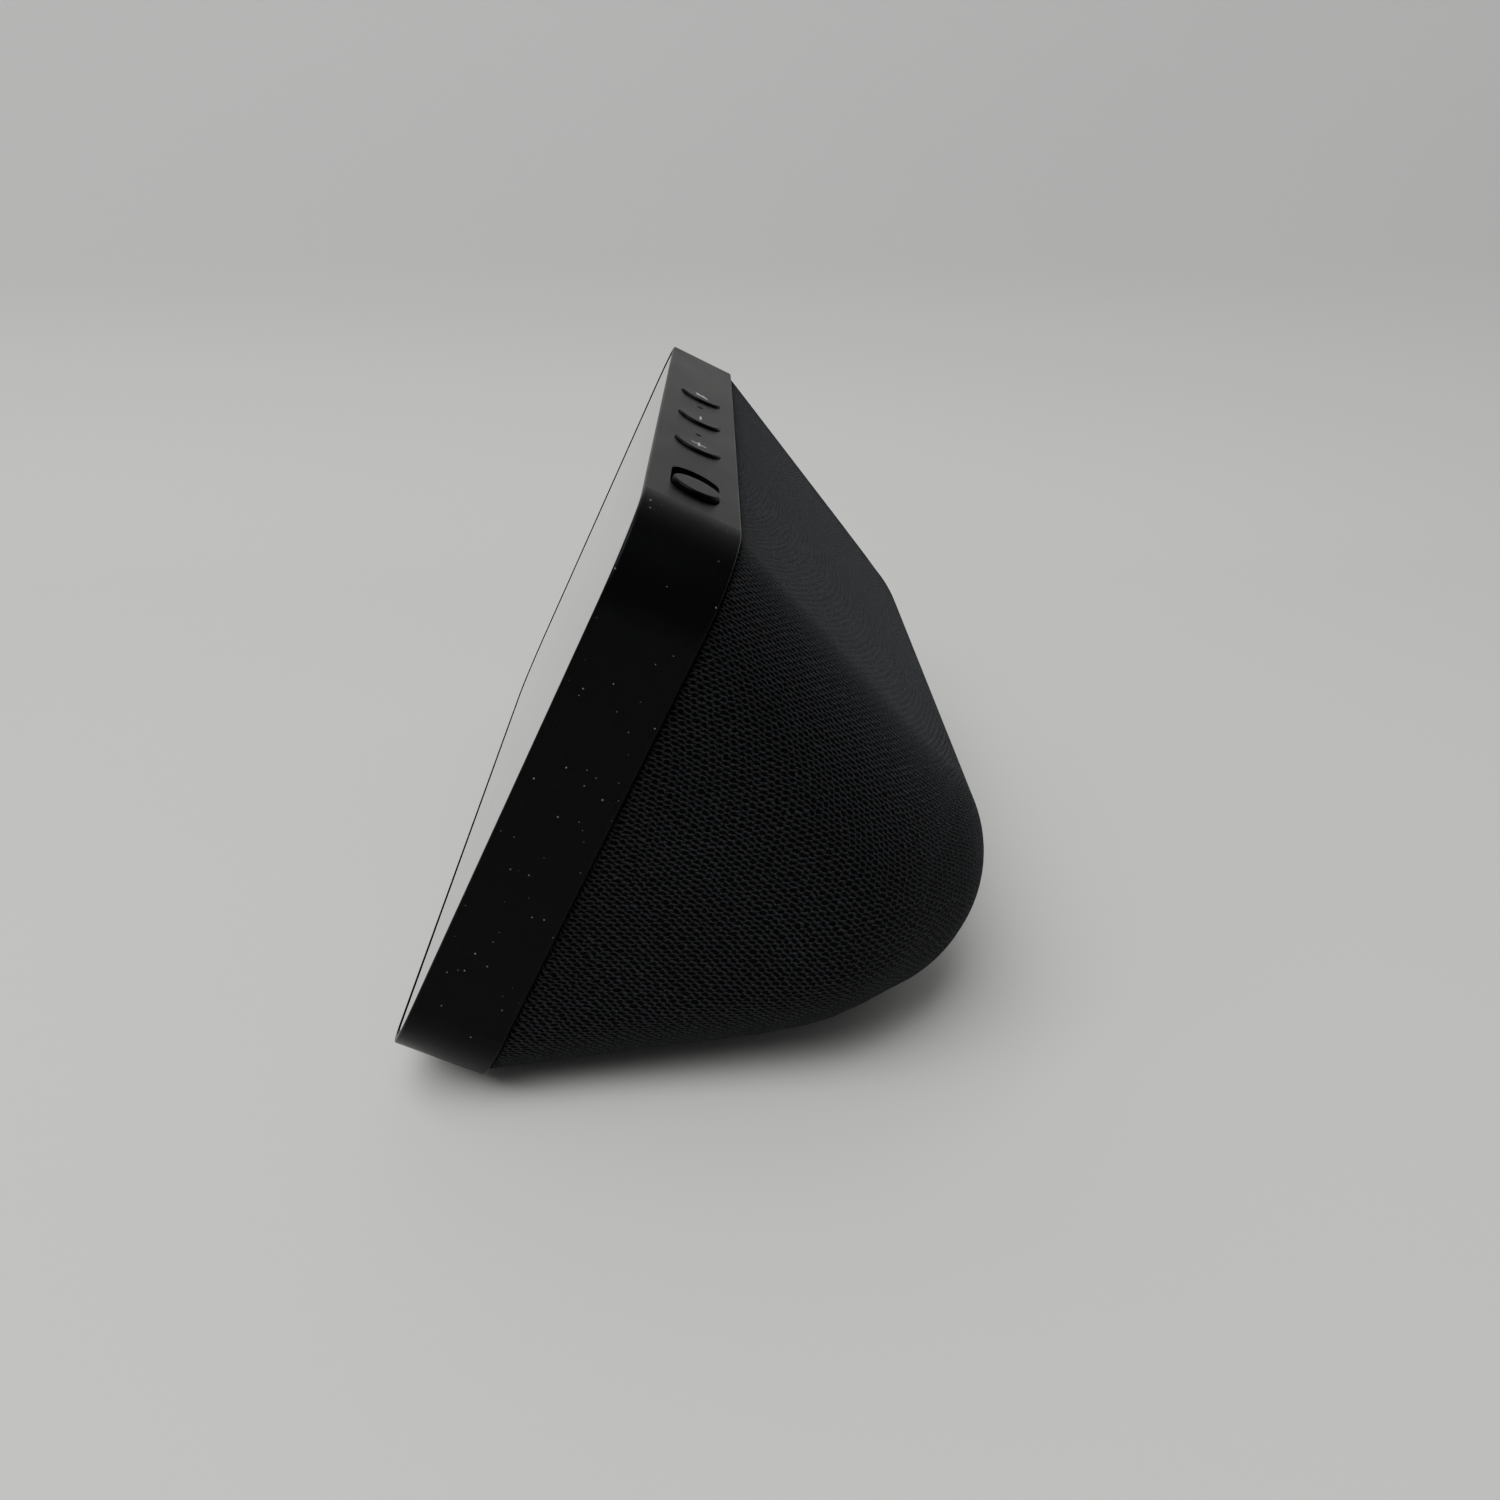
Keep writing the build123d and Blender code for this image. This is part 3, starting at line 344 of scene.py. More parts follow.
def circuit_board():
    """Green solder mask that rises over copper tracks: thin bands where a cell pattern's edges run."""
    finish = Finish("circuit_board")
    here = finish.place()
    track = finish.node("ShaderNodeTexVoronoi", {"feature": "DISTANCE_TO_EDGE", "distance": "EUCLIDEAN"},
                        {"Vector": here, "Scale": 1 / TRACK_PITCH, "Randomness": 0.4}, "Distance")
    copper = 1 - track.step(0.04, 0.08)
    mottle = finish.noise(here, 400.0)
    mask = finish.tint(mottle.step(0.3, 0.7), (0.006, 0.06, 0.03, 1), (0.01, 0.09, 0.045, 1))
    colour = finish.tint(copper * 0.7, mask, (0.03, 0.16, 0.06, 1))
    return finish.done(finish.shader(Base_Color=colour, Roughness=0.3 + 0.2 * mottle,
                                     Normal=finish.bump(copper, 0.03 * MM)))


def copper_coil():
    """Enamelled copper wire side by side: a cosine across the winding rounds every turn, with painted shade in the
    grooves.
    """
    finish = Finish("copper_coil")
    axis = next(joint for joint in frame["joints"] if joint["name"] == "cone_travel")["axis"]
    turned = finish.place(turn=(math.atan2(axis[1], axis[2]), 0, 0))
    apart = finish.node("ShaderNodeSeparateXYZ", {}, {"Vector": turned})
    turns = (apart.also("Z") / WIRE_PITCH).cosine()
    # Dark in the grooves where turns meet, pale along each turn: painted shade between the wires.
    colour = finish.tint(turns.step(-0.8, 0.6), (0.16, 0.05, 0.015, 1), (0.6, 0.27, 0.1, 1))
    return finish.done(finish.shader(Base_Color=colour, Roughness=0.3, Metallic=1.0,
                                     Normal=finish.bump(turns, 0.05 * MM)))


FINISHES["circuit_board"] = circuit_board()
FINISHES["copper_coil"] = copper_coil()
print("boards and coil finished")

# %% [markdown]
# ## Knitted mesh
# The cloth is a charcoal knit with an open hole in every stitch. Each hole is painted near black: the
# black shell behind it, darkened further by painted shade inside the hole. The top of each loop of yarn
# is made paler by a painted highlight. Modelling each loop of yarn would take millions of faces for a
# relief less than half a millimetre deep, so the stitches are in the finish. A knit is a lattice:
# three sets of evenly spaced waves cross at every stitch, and their sum peaks once in each, which is
# where the hole goes.
# Stitches in one row sit half a stitch along from the next, so two of the waves run aslant.
# The cloth carries two stitch counts in its UV map, so holes stretch and lean wherever the cloth does.

# %% The knit's finish, from two stitch counts
STITCH_DEPTH = 0.45 * MM
HOLE_START, HOLE_FULL = -0.95, 0.35           # sums of the waves where a hole starts and is full
# The lowest sums run along the top of the yarn, where a painted highlight is laid.
CREST_HIGHLIGHT_END, CREST_HIGHLIGHT_START = -1.7, -0.4           # the lowest sums, along the top of the yarn
LEAN_ONE, LEAN_OTHER = 1.2, 0.8               # shares of the two slanted waves
STRAY = 1.1                       # how far a stitch may stray, in stitches
# Holes: the black shell behind, darkened further by painted shade inside each hole.
HOLE_COLOUR = grey(0.0004, 1.2)
# Yarn runs from dark to pale by its random tone and by the painted highlight along each loop's top.
YARN_DARK, YARN_PALE = grey(0.0006, 1.2), grey(0.03, 1.14)


def charcoal_knit():
    """Holes where the sum of three waves is high: cos b + share cos (a - b / 2) + other share
    cos (a + b / 2), with a counted along the rows and b across. Uneven shares lean every hole."""
    finish = Finish("charcoal_fabric")
    counts = finish.node("ShaderNodeUVMap", {"uv_map": "stitches"})
    apart = finish.node("ShaderNodeSeparateXYZ", {}, {"Vector": counts})
    here = finish.place()
    stray, dyed = finish.noise(counts, 0.45, 2.0), finish.noise(counts, 0.8, 1.0)
    stray_too, drift = finish.noise(here, 900.0, 2.0), finish.noise(here, 130.0, 1.0)
    a = apart + STRAY * (stray - 0.5) + STRAY * (drift - 0.5)
    b = apart.also("Y") + STRAY * (stray_too - 0.5)
    waves = b.cosine() + LEAN_ONE * (a - b * 0.5).cosine() + LEAN_OTHER * (a + b * 0.5).cosine()
    yarn = 1 - waves.step(HOLE_START, HOLE_FULL)
    plies = (3 * a - 1.5 * b).cosine() * 0.5 + 0.5
    # Painted highlight along the top of every loop of yarn.
    crest_highlight = 1 - waves.step(CREST_HIGHLIGHT_END, CREST_HIGHLIGHT_START)
    fibre = finish.noise(here, 5200.0, 2.0)
    broad = finish.noise(here, 45.0, 2.0)
    # Random tone from dye, fibre and broad drift, plus the painted highlight along the loops.
    shade = 0.4 * dyed + 0.35 * fibre + 0.25 * broad + crest_highlight
    yarn_colour = finish.tint(shade.step(0.55, 1.6), YARN_DARK, YARN_PALE)
    # Near black in the holes: painted shade over the black shell.
    colour = finish.tint(yarn, HOLE_COLOUR, yarn_colour)
    relief = yarn + 0.18 * plies * yarn + 0.2 * fibre
    normal = finish.bump(relief, STITCH_DEPTH)
    roughness = 0.8 + 0.15 * fibre
    return finish.done(finish.shader(Base_Color=colour, Roughness=roughness, Normal=normal,
                                     Specular_IOR_Level=0.03, Sheen_Weight=0.075, Sheen_Roughness=0.45,
                                     Sheen_Tint=COOL))


FINISHES["charcoal_fabric"] = charcoal_knit()
print("knit ready, in", len(FINISHES), "finishes")

# %% [markdown]
# ## Putting the finishes on
# The record says which material each part is made of, so that names the finish as well. A list of
# parts typed in here could drift away from the model, and reading the record can't.

# %% Put every part's finish on
for node, part in frame["nodes"].items():
    part.data.materials.clear()
    part.data.materials.append(FINISHES[SLOT_OF[node]])
print("finishes put on", len(frame["nodes"]), "parts")

# %% [markdown]
# ## The stretched cover
# The cover is one piece of knit pulled tight from the frame's rear edge over the wedge. Tight cloth
# takes the convex outline of what is under it: here the frame's edge and two rounded bars. A cloth
# simulation could pull it tight, but the result of that pull is known exactly. At each depth the
# highest, lowest and widest reach of the outline give a rounded rectangle, and these rectangles,
# one behind the other, are the surface.

# %% Reach of the convex outline
FABRIC_STEP = 0.75 * MM                    # the cloth stands in from the frame's side by this much
CORNER_RADIUS = 12.2 * MM
UPPER_BAR = (48.15, 44.07, 21.15, 45.5)    # depth, rise, radius and half length, in millimetres
LOWER_BAR = (43.64, 39.64, 21.13, 49.7)
REAR_ROUNDNESS = 0.92
GRAZING = 0.0005                           # kept clear of the two angles where sine is nothing
ANGLES = np.linspace(GRAZING, math.pi - GRAZING, 1441)
FULLEST_CORNER = 0.47                      # of a section's height


def outline_reach(depths, discs, way):
    """For every depth, the lowest line that rests on the discs: min over angles of
    (furthest reach of any disc at that angle - depth x cosine) / sine."""
    c, s = np.cos(ANGLES), np.sin(ANGLES)
    support = np.max([centre * c + way * side * s + radius for centre, side, radius in discs], axis=0)
    return way * np.min((support[None] - depths[:, None] * c[None]) / s[None], axis=1)


def sections(depths):
    """Top, bottom, half width and corner radius of the rounded rectangle at each depth."""
    edge = FABRIC_STEP
    bars = [tuple(value * MM for value in bar) for bar in (UPPER_BAR, LOWER_BAR)]
    rises = [(depth, rise, radius) for depth, rise, radius, half in bars]
    sides = [(depth, half, radius) for depth, rise, radius, half in bars]
    rises += [(FRAME_DEPTH, FACE_HEIGHT - edge, 0), (FRAME_DEPTH, edge, 0)]
    sides += [(FRAME_DEPTH, WIDTH / 2 - edge, 0)]
    top = outline_reach(depths, rises, 1)
    bottom = outline_reach(depths, rises, -1)
    half = outline_reach(depths, sides, 1)
    centre, radius = bars[0][0], bars[0][2]
    grown = np.clip((depths - FRAME_DEPTH) / (centre - FRAME_DEPTH), 0, 1)
    corner = (CORNER_RADIUS - edge) * (1 - grown) + radius * REAR_ROUNDNESS * grown
    return top, bottom, half, np.minimum(corner, FULLEST_CORNER * (top - bottom))


some_depths = np.array([20.0, 42.0, 60.0]) * MM
print("sections at 20, 42 and 60 mm:", [np.round(values / MM, 1) for values in sections(some_depths)])

# %% [markdown]
# ## Counting stitches over the cover
# The knit isn't square to anything once it is stretched. Along the bottom of each side the rows lie
# level, and higher up they lean and open until they follow the ridge. Two smooth counts say how many
# stitches lie between any two points of the side: one along the rows, one across them, each a
# quadratic in depth and rise. Over the ridge and under the bottom edge they carry on at the rate
# that they had there. Where the two halves of the cover meet, one count has to level out and the
# other has to arrive at a whole or half stitch, so that the knit runs through without a seam.

# %% The two counts
COUNT_FROM = (40.0, 35.0)                  # depth and rise where both counts are zero, in millimetres
# stitches per mm of depth and of rise there, then how these grow: depth squared, both, rise squared
ALONG_ROWS = (0.752, 0.372, 0.00096, -0.00286, 0.01027)
ACROSS_ROWS = (0.534, -1.291, -0.00154, 0.00666, 0.00811)
LAST_DEPTH = 54.0
RISE_ENDS = (18.0, 78.0)


def count(rates, depth, rise):
    """Stitches on the side and their rate up it: the quadratic, carried straight on past its ends."""
    by_depth, by_rise, depth_2, both, rise_2 = rates
    d = np.minimum(depth, LAST_DEPTH) - COUNT_FROM[0]
    r = np.clip(rise, *RISE_ENDS) - COUNT_FROM[1]
    value = by_depth * d + by_rise * r + depth_2 * d * d + both * d * r + rise_2 * r * r
    depth_rate = by_depth + 2 * depth_2 * d + both * r
    rise_rate = by_rise + both * d + 2 * rise_2 * r
    past_depth, past_rise = depth - COUNT_FROM[0] - d, rise - COUNT_FROM[1] - r
    return value + depth_rate * past_depth + rise_rate * past_rise, rise_rate


def levelled(value, rate, over, reach):
    """Count past the edge whose rate eases to none at the middle: rate x (over - over squared / 2 reach)."""
    return value + rate * (over - over ** 2 / (2 * reach))


def arriving(value, rate, over, reach):
    """Count past the edge at a steady rate, drawn smoothly to the nearest half stitch at the middle."""
    middle = value + rate * reach
    aim = np.round(2 * middle[len(middle) // 2]) / 2
    share = np.clip(over / reach, 0, 1)
    return value + rate * over - share ** 2 * (3 - 2 * share) * (middle - aim)


print("stitches along 10 mm of a row:", round(10 * math.hypot(*ALONG_ROWS[:2]), 1))

# %% [markdown]
# ## The cover's grid
# Each ring of the grid runs from the middle of the bottom, up one side and over to the middle of the
# top, and its mirror image closes the ring. The first rings roll the cloth in behind the frame, and
# the last ring closes to a line. Rounded corners get more points than straight runs.

# %% Rings round the wedge
TUCK = 0.55 * MM
SEAM_GAP = 0.12 * MM
ACROSS_CELLS, CORNER_CELLS, SIDE_CELLS = 62, 20, 34
TUCK_ROWS, STRAIGHT_ROWS, ROUND_ROWS = 4, 44, 34


def half_ring():
    """Slide across, slide up and angle of each point: slide x flat half size + radius x (cosine, sine)."""
    flat = np.linspace(0, 1, ACROSS_CELLS + 1)
    bend = np.linspace(0, math.pi / 2, CORNER_CELLS + 1)[1:-1]
    side = np.linspace(-1, 1, SIDE_CELLS + 1)
    ones = np.ones_like(bend)
    across = np.concatenate([flat, ones, np.ones_like(side), ones, flat[::-1]])
    up = np.concatenate([-np.ones_like(flat), -ones, side, ones, np.ones_like(flat)])
    angle = np.concatenate([np.full_like(flat, -math.pi / 2), bend - math.pi / 2, np.zeros_like(side),
                            bend, np.full_like(flat, math.pi / 2)])
    return across, up, angle


def ring_rows():
    """Depth, tuck and length walked back to each ring: quarter circle at the frame, straight, round."""
    near = FRAME_DEPTH + SEAM_GAP
    roll = np.linspace(0, math.pi / 2, TUCK_ROWS + 1)[:-1]
    centre, radius = UPPER_BAR[0] * MM, UPPER_BAR[2] * MM
    flat = np.linspace(near + TUCK, centre, STRAIGHT_ROWS)
    swing = np.linspace(0, math.pi / 2, ROUND_ROWS + 1)[1:]
    rolled = near + TUCK * (1 - np.cos(roll))
    depths = np.concatenate([rolled, flat, centre + radius * np.sin(swing)])
    tucked = np.concatenate([TUCK * (1 - np.sin(roll)), np.zeros(STRAIGHT_ROWS + ROUND_ROWS)])
    return depths, tucked, np.concatenate([rolled, flat, centre + radius * swing])


DEPTHS, TUCKED, WALKED = ring_rows()
SLIDE, LIFT, ANGLE = half_ring()
print(len(DEPTHS), "rings of", 2 * len(SLIDE) - 2, "points")

# %% [markdown]
# ## Laying the grid on the wedge
# The sections and the half ring meet here: each point of the half ring is slid and swung to fit the
# section at its depth. It could be done ring by ring in a loop, but whole arrays say it in one line
# for each coordinate. The stitch counts are then read off at the same points.

# %% Points and stitch counts of the right half
def right_half():
    """Face coordinates of the half rings, with the last ring closed to the upper bar's rear line."""
    top, bottom, half, corner = (values.copy() for values in sections(DEPTHS))
    top[-1] = bottom[-1] = UPPER_BAR[1] * MM
    half[-1], corner[-1] = UPPER_BAR[3] * MM, 0.0
    top, bottom, half, corner = (values[:, None] for values in (top, bottom, half, corner))
    round_by = corner - np.minimum(TUCKED[:, None], corner)
    x = SLIDE * (half - corner) + round_by * np.cos(ANGLE)
    rise = (top + bottom) / 2 + LIFT * ((top - bottom) / 2 - corner) + round_by * np.sin(ANGLE)
    return x, np.broadcast_to(DEPTHS[:, None], x.shape), rise, np.broadcast_to(half, x.shape)


def stitch_counts(x, rise, half):
    """Both counts at each point: on top the count across levels out, and under the bottom the one along."""
    walked = np.broadcast_to(WALKED[:, None] / MM, x.shape)
    reach = half / MM
    over = reach - x / MM
    above = np.arange(x.shape[1]) > x.shape[1] // 2
    both = []
    for rates, level_on_top in ((ALONG_ROWS, False), (ACROSS_ROWS, True)):
        value, rate = count(rates, walked, rise / MM)
        rate = np.where(above, rate, -rate)
        even, odd = levelled(value, rate, over, reach), arriving(value, rate, over, reach)
        both.append(np.where(above == level_on_top, even, odd))
    return both


X, DEPTH, RISE, HALF = right_half()
ALONG, OVER_ROWS = stitch_counts(X, RISE, HALF)
print("right half of the cover:", X.shape, "points")

# %% [markdown]
# ## Openings in the cloth
# The cloth stops at the base plate and at the power inlet. A Boolean cut could make the openings,
# but it leaves slivers in a fine mesh. Here each grid edge that crosses an opening's outline has its
# nearer end pulled along the edge onto the outline, and then the triangles inside are left out.

# %% Two halves, with their openings
BASE_GROWN, BASE_ROUND = 0.5 * MM, 10.5 * MM
BASE_REACH = 4 * MM               # only cloth up to this far above the base plate is cut for it
INLET_GROWN = 0.2 * MM


def box_outline(place, middle, size, radius):
    """Distance outside a rounded rectangle: length of max(q, 0) + min(max q, 0) - radius."""
    q = np.abs(place - middle) - (np.asarray(size) / 2 - radius)
    return np.linalg.norm(np.maximum(q, 0), axis=-1) + np.minimum(q.max(axis=-1), 0) - radius


def outside_openings(points):
    """Distance of each point outside the nearest opening; far from both it is simply large."""
    base_low, base_high = (np.array(corner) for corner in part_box("base_plate"))
    inlet_low, inlet_high = (np.array(corner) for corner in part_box("port_plate"))
    base_size = (base_high - base_low)[:2] + 2 * BASE_GROWN
    under = box_outline(points[:, :2], (base_low + base_high)[:2] / 2, base_size, BASE_ROUND)
    inlet_size = (inlet_high - inlet_low)[[0, 2]] + 2 * INLET_GROWN
    behind = box_outline(points[:, [0, 2]], (inlet_low + inlet_high)[[0, 2]] / 2, inlet_size,
                         inlet_size[1] / 2)
    far = WIDTH
    under = np.where(points[:, 2] < base_high[2] + BASE_REACH, under, far)
    behind = np.where(points[:, 1] > 0, behind, far)
    return np.minimum(under, behind)


def grid_triangles(rows, columns, flip):
    """Vertex numbers of a grid's triangles: two for each cell, turned round if flip."""
    number = np.arange(rows * columns).reshape(rows, columns)
    a, b, c, d = (number[:-1, :-1], number[:-1, 1:], number[1:, 1:], number[1:, :-1])
    pairs = np.stack([np.stack([a, b, c], -1), np.stack([a, c, d], -1)]).reshape(-1, 3)
    return pairs[:, ::-1] if flip else pairs


def opened(points, counts, triangles):
    """The half with its openings: crossing edges pulled onto the outline, inner triangles dropped."""
    away = outside_openings(points)
    edges = np.concatenate([triangles[:, [0, 1]], triangles[:, [1, 2]], triangles[:, [2, 0]]])
    edges = edges[away[edges[:, 0]] * away[edges[:, 1]] < 0]
    nearer = np.abs(away[edges[:, 0]]) < np.abs(away[edges[:, 1]])
    near = np.where(nearer, edges[:, 0], edges[:, 1])
    other = np.where(nearer, edges[:, 1], edges[:, 0])
    share = (away[near] / (away[near] - away[other]))[:, None]
    moved_points, moved_counts = points.copy(), counts.copy()
    moved_points[near] = points[near] + share * (points[other] - points[near])
    moved_counts[near] = counts[near] + share * (counts[other] - counts[near])
    away[near] = 0.0
    kept = away[triangles].max(axis=1) > 0
    return moved_points, moved_counts, triangles[kept]


def cover_mesh():
    """Both halves as one mesh, the left one mirrored in X with its count along the rows reversed."""
    rows, columns = X.shape
    points, counts, triangles = [], [], []
    for way in (1, -1):
        place = from_face(way * X, DEPTH, RISE).reshape(-1, 3)
        pair = np.stack([way * ALONG, OVER_ROWS], -1).reshape(-1, 2)
        place, pair, kept = opened(place, pair, grid_triangles(rows, columns, way > 0))
        triangles.append(kept + sum(len(part) for part in points))
        points.append(place)
        counts.append(pair)
    return np.concatenate(points), np.concatenate(counts), np.concatenate(triangles)


PLACES, COUNTS, TRIANGLES = cover_mesh()
print(len(TRIANGLES), "triangles of cloth left around the openings")

# %% [markdown]
# ## From arrays to a piece of cloth
# A mesh is made from the arrays, its stitch counts go into a UV map, and a Solidify modifier gives it
# the thickness of knit, inwards, so its outside stays where it was worked out. An inner surface could
# be worked out too, but it would say nothing new.

# %% Turn arrays into a mesh object
def new_piece(name, points, faces, finish, body, smooth=True):
    """An object at the origin with its place in its mesh, riding on a body."""
    mesh = bpy.data.meshes.new(name)
    mesh.from_pydata(np.asarray(points).tolist(), [], [list(face) for face in faces])
    mesh.materials.append(FINISHES[finish])
    mesh.polygons.foreach_set("use_smooth", np.full(len(mesh.polygons), smooth))
    piece = bpy.data.objects.new(name, mesh)
    bpy.context.scene.collection.objects.link(piece)
    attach(piece, body)
    return piece


def tidy_mesh(piece, distance, recalculate=False):
    """Merges points closer than distance, drops loose ones, and turns faces outwards if asked."""
    work = bmesh.new()
    work.from_mesh(piece.data)
    bmesh.ops.delete(work, geom=[v for v in work.verts if not v.link_faces], context="VERTS")
    bmesh.ops.remove_doubles(work, verts=work.verts, dist=distance)
    bmesh.ops.dissolve_degenerate(work, edges=work.edges, dist=distance)
    if recalculate:
        bmesh.ops.recalc_face_normals(work, faces=work.faces)
    work.to_mesh(piece.data)
    work.free()


CLOTH_THICK, MERGE = 0.7 * MM, 0.01 * MM
cover = new_piece("fabric_cover_cloth", PLACES, TRIANGLES, "charcoal_fabric", "root")
stitches = cover.data.uv_layers.new(name="stitches")
corners = np.zeros(len(cover.data.loops), int)
cover.data.loops.foreach_get("vertex_index", corners)
stitches.data.foreach_set("uv", COUNTS[corners].ravel())
tidy_mesh(cover, MERGE)
thickness = cover.modifiers.new("thickness", "SOLIDIFY")
thickness.thickness, thickness.offset = CLOTH_THICK, -1.0
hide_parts("fabric_cover")

# %% [markdown]
# ## The cut of the cloth
# The cover is cut from flat knit and stretched on by about a twentieth. Its blank is the width across
# the back and both sides by the length from the lower front edge, round the rear, to the top edge,
# with the corners cut away.

# %% [markdown]
# ## Marks on the keys
# The three keys carry small pale printed marks: a plus, a minus, and a crossed-out microphone. They
# are printed ink, so each is a flat shape a few hundredths of a millimetre thick that rides on its
# key. Drawing them in a texture would save nothing and would blur.

# %% Printed marks
INK = 0.02 * MM                   # the ink stands this far above the key, and as far into it
INK_LAYER = 0.4                   # each later stroke's extra height, as a share of that
LINE = 0.32 * MM
INK_MERGE = 0.0001 * MM


def ink_finish():
    """Pale grey ink, slightly worn where fingers press."""
    finish = Finish("printed_ink")
    worn = finish.noise(finish.place(), 2600.0, 3.0)
    colour = finish.tint(worn.step(0.4, 0.75), grey(0.4), grey(0.24))
    return finish.done(finish.shader(Base_Color=colour, Roughness=0.5 + 0.2 * worn))


FINISHES["printed_ink"] = ink_finish()


def slab(outline, low, high):
    """Closed prism over a flat outline: the outline at two heights, joined by side faces."""
    n = len(outline)
    points = [(x, y, z) for z in (low, high) for x, y in outline]
    sides = [[k, (k + 1) % n, n + (k + 1) % n, n + k] for k in range(n)]
    return points, [list(range(n))[::-1], list(range(n, 2 * n)), *sides]


def bar(start, end, width):
    """Outline of a straight stroke between two points."""
    start, end = np.array(start), np.array(end)
    along = (end - start) / np.linalg.norm(end - start)
    aside = np.array([-along[1], along[0]]) * width / 2
    return [tuple(corner) for corner in (start - aside, end - aside, end + aside, start + aside)]


def curve_stroke(radius, start, end, width, middle=(0, 0), steps=24):
    """Outline of a bent stroke: an arc of angles out along one radius and back along another."""
    turn = np.radians(np.linspace(start, end, steps))
    out = [(middle[0] + (radius + width / 2) * math.cos(t), middle[1] + (radius + width / 2) * math.sin(t))
           for t in turn]
    back = [(middle[0] + (radius - width / 2) * math.cos(t), middle[1] + (radius - width / 2) * math.sin(t))
            for t in turn[::-1]]
    return out + back


def pill(width, height, middle, steps=12):
    """Outline of an upright pill: two half circles."""
    r = width / 2
    turn = np.linspace(0, math.pi, steps)
    top = [(middle[0] + r * math.cos(t), middle[1] + height / 2 - r + r * math.sin(t)) for t in turn]
    low = [(middle[0] - r * math.cos(t), middle[1] - height / 2 + r - r * math.sin(t)) for t in turn]
    return top + low


def plus(arm, width):
    """Outline of a plus: twelve corners round two crossed bars."""
    w = width / 2
    return [(arm, -w), (arm, w), (w, w), (w, arm), (-w, arm), (-w, w),
            (-arm, w), (-arm, -w), (-w, -w), (-w, -arm), (w, -arm), (w, -w)]


ARM = 1.15 * MM
MARKS = {
    "volume_up": [(plus(ARM, LINE), 0)],
    "volume_down": [(bar((-ARM, 0), (ARM, 0), LINE), 0)],
    "mic_off": [
        (pill(0.8 * MM, 1.5 * MM, (0, 0.3 * MM)), 0),
        (curve_stroke(0.75 * MM, 190, 350, 0.2 * MM, (0, 0.15 * MM)), 0),
        (bar((0, -0.7 * MM), (0, -1.2 * MM), 0.2 * MM), 1),
        (bar((-1.05 * MM, 1.05 * MM), (1.05 * MM, -1.05 * MM), 0.22 * MM), 2),
    ],
}


def key_mark(key, outlines):
    """All the strokes of one mark, laid on the key's top: each layer a little higher than the last."""
    low, high = face_box(key + "_button")
    x, depth = (low + high)[:2] / 2
    points, faces = [], []
    for outline, layer in outlines:
        stroke, sides = slab(outline, high[2] - INK, high[2] + INK * (1 + INK_LAYER * layer))
        faces += [[k + len(points) for k in side] for side in sides]
        points += stroke
    flat = np.array(points)
    placed = from_face(x + flat[:, 0], depth - flat[:, 1], flat[:, 2])
    return new_piece(key + "_mark", placed, faces, "printed_ink", key + "_key", False)


for key, outlines in MARKS.items():
    mark = key_mark(key, outlines)
    tidy_mesh(mark, INK_MERGE, recalculate=True)
print("marks printed on", sorted(MARKS))

# %% [markdown]
# ## Floor, backdrop and light
# A tabletop thing is usually shown on a sweep: a pale sheet that is floor in front and curves up into
# a wall, so there is no hard line behind the object. The light is one big soft panel overhead, a
# little towards the camera and towards the side that the screen faces. It leaves the upright sides
# dark and lays a soft shadow under them. Nothing bright stands behind the camera, or the black
# plastic would turn grey.

# %% Sweep
SWEEP_WIDTH = 3.0
SWEEP_FRONT, BEND_START, BEND_RADIUS, WALL_TOP = 1.6, -0.175, 0.085, 1.3
BEND_STEPS = 32
FLOOR_DARK, FLOOR_PALE = (0.67, 0.67, 0.65, 1), (0.71, 0.71, 0.69, 1)
WALL_COLOUR, WALL_FROM = (0.65, 0.65, 0.645, 1), 0.12


def sweep_profile():
    """Floor, quarter circle and wall as one line of (x, z) points."""
    turn = np.linspace(0, math.pi / 2, BEND_STEPS)
    x = np.concatenate([[SWEEP_FRONT], BEND_START - BEND_RADIUS * np.sin(turn),
                        [BEND_START - BEND_RADIUS]])
    z = np.concatenate([[0.0], BEND_RADIUS * (1 - np.cos(turn)), [WALL_TOP]])
    return x, z


def sweep_finish():
    """Pale matte board with a faint mottle, which turns to the wall's plain colour as it rises."""
    finish = Finish("pale_board")
    here = finish.place()
    cloud, fine = finish.noise(here, 5.0, 3.0), finish.noise(here, 900.0, 2.0)
    floor = finish.tint(cloud, FLOOR_DARK, FLOOR_PALE)
    height = finish.node("ShaderNodeSeparateXYZ", {}, {"Vector": here}).also("Z")
    colour = finish.tint(height.step(0.0, WALL_FROM), floor, WALL_COLOUR)
    return finish.done(finish.shader(Base_Color=colour, Roughness=0.55 + 0.1 * fine,
                                     Specular_IOR_Level=0.3))


line_x, line_z = sweep_profile()
sides_y = np.array([-SWEEP_WIDTH / 2, SWEEP_WIDTH / 2])
sweep_points = np.stack([np.repeat(line_x, 2), np.tile(sides_y, len(line_x)), np.repeat(line_z, 2)], -1)
steps = np.arange(len(line_x) - 1)[:, None] * 2
sweep_mesh = bpy.data.meshes.new("sweep")
sweep_mesh.from_pydata(sweep_points.tolist(), [], (steps + np.array([1, 0, 2, 3])).tolist())
sweep_mesh.materials.append(sweep_finish())
sweep_mesh.polygons.foreach_set("use_smooth", np.ones(len(sweep_mesh.polygons), bool))
sweep = bpy.data.objects.new("sweep", sweep_mesh)
bpy.context.scene.collection.objects.link(sweep)
print("sweep of", len(sweep_mesh.polygons), "strips")

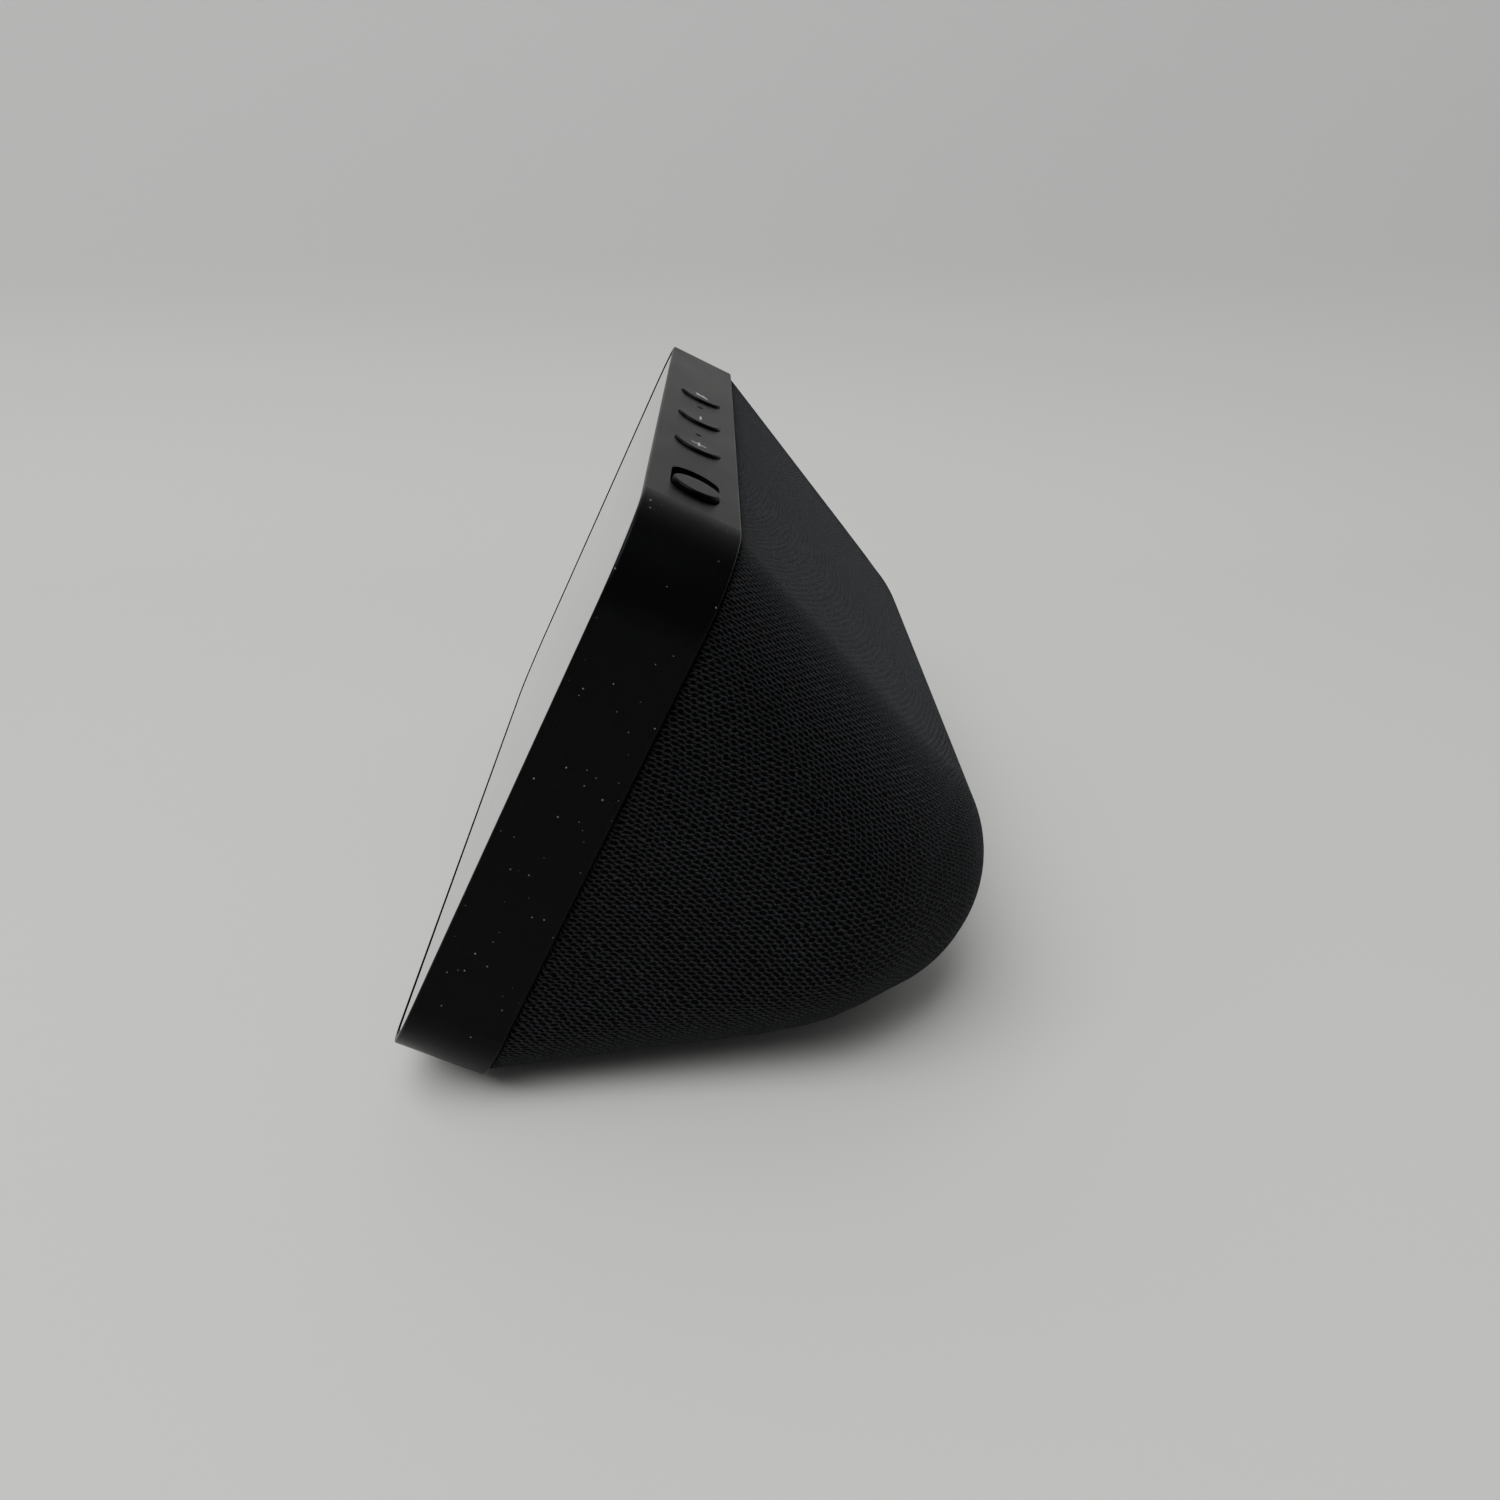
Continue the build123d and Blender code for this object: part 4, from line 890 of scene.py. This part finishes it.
# %% [markdown]
# ## The light itself
# One square panel over a dim room is enough. More lights would fill the shadow under the wedge, which
# is what shows how its lower edge rolls away from the floor.

# %% Lights
PANEL_PLACE, PANEL_TARGET = (0.4, -0.35, 1.1), (-0.05, 0.0, 0.0)
PANEL_SIZE, PANEL_WATTS = 1.1, 18.0
ROOM_COLOUR = (0.2, 0.2, 0.205, 1)


def soft_panel(name, place, target, size, power):
    """A square light at place that faces target."""
    data = bpy.data.lights.new(name, "AREA")
    data.shape, data.size, data.energy = "SQUARE", size, power
    panel = bpy.data.objects.new(name, data)
    panel.location = place
    panel.rotation_mode = "QUATERNION"
    panel.rotation_quaternion = (Vector(target) - Vector(place)).to_track_quat("-Z", "Y")
    bpy.context.scene.collection.objects.link(panel)


soft_panel("overhead", PANEL_PLACE, PANEL_TARGET, PANEL_SIZE, PANEL_WATTS)
world = bpy.data.worlds.new("room")
world.use_nodes = True
world.node_tree.nodes["Background"].inputs["Color"].default_value = ROOM_COLOUR
world.node_tree.nodes["Background"].inputs["Strength"].default_value = 1.0
bpy.context.scene.world = world
print("one panel overhead and a dim room")

# %% [markdown]
# ## Camera
# The camera stands close on the right-hand side and looks a little down along the screen, so the
# glass is seen almost edge on. A camera this close shows strong perspective, so its distance matters
# as much as its angle: the lens and place are set from the size of the speaker.

# %% Camera
LENS, SENSOR = 31.72, 36.0
CAMERA_PLACE = (216.2 * MM, 3.95 * MM, 118.3 * MM)
CAMERA_BACK = (0.911, -0.0212, 0.41187)
CAMERA_ROLL = math.radians(-0.05)
camera_data = bpy.data.cameras.new("camera")
camera_data.lens, camera_data.sensor_width, camera_data.sensor_fit = LENS, SENSOR, "HORIZONTAL"
camera_data.clip_start = 5 * MM
camera = bpy.data.objects.new("camera", camera_data)
camera.location = CAMERA_PLACE
camera.rotation_mode = "QUATERNION"
looking = (-Vector(CAMERA_BACK)).to_track_quat("-Z", "Y")
camera.rotation_quaternion = looking @ Quaternion((0, 0, 1), CAMERA_ROLL)
bpy.context.scene.collection.objects.link(camera)
bpy.context.scene.camera = camera
print("camera at", [round(value, 3) for value in CAMERA_PLACE])
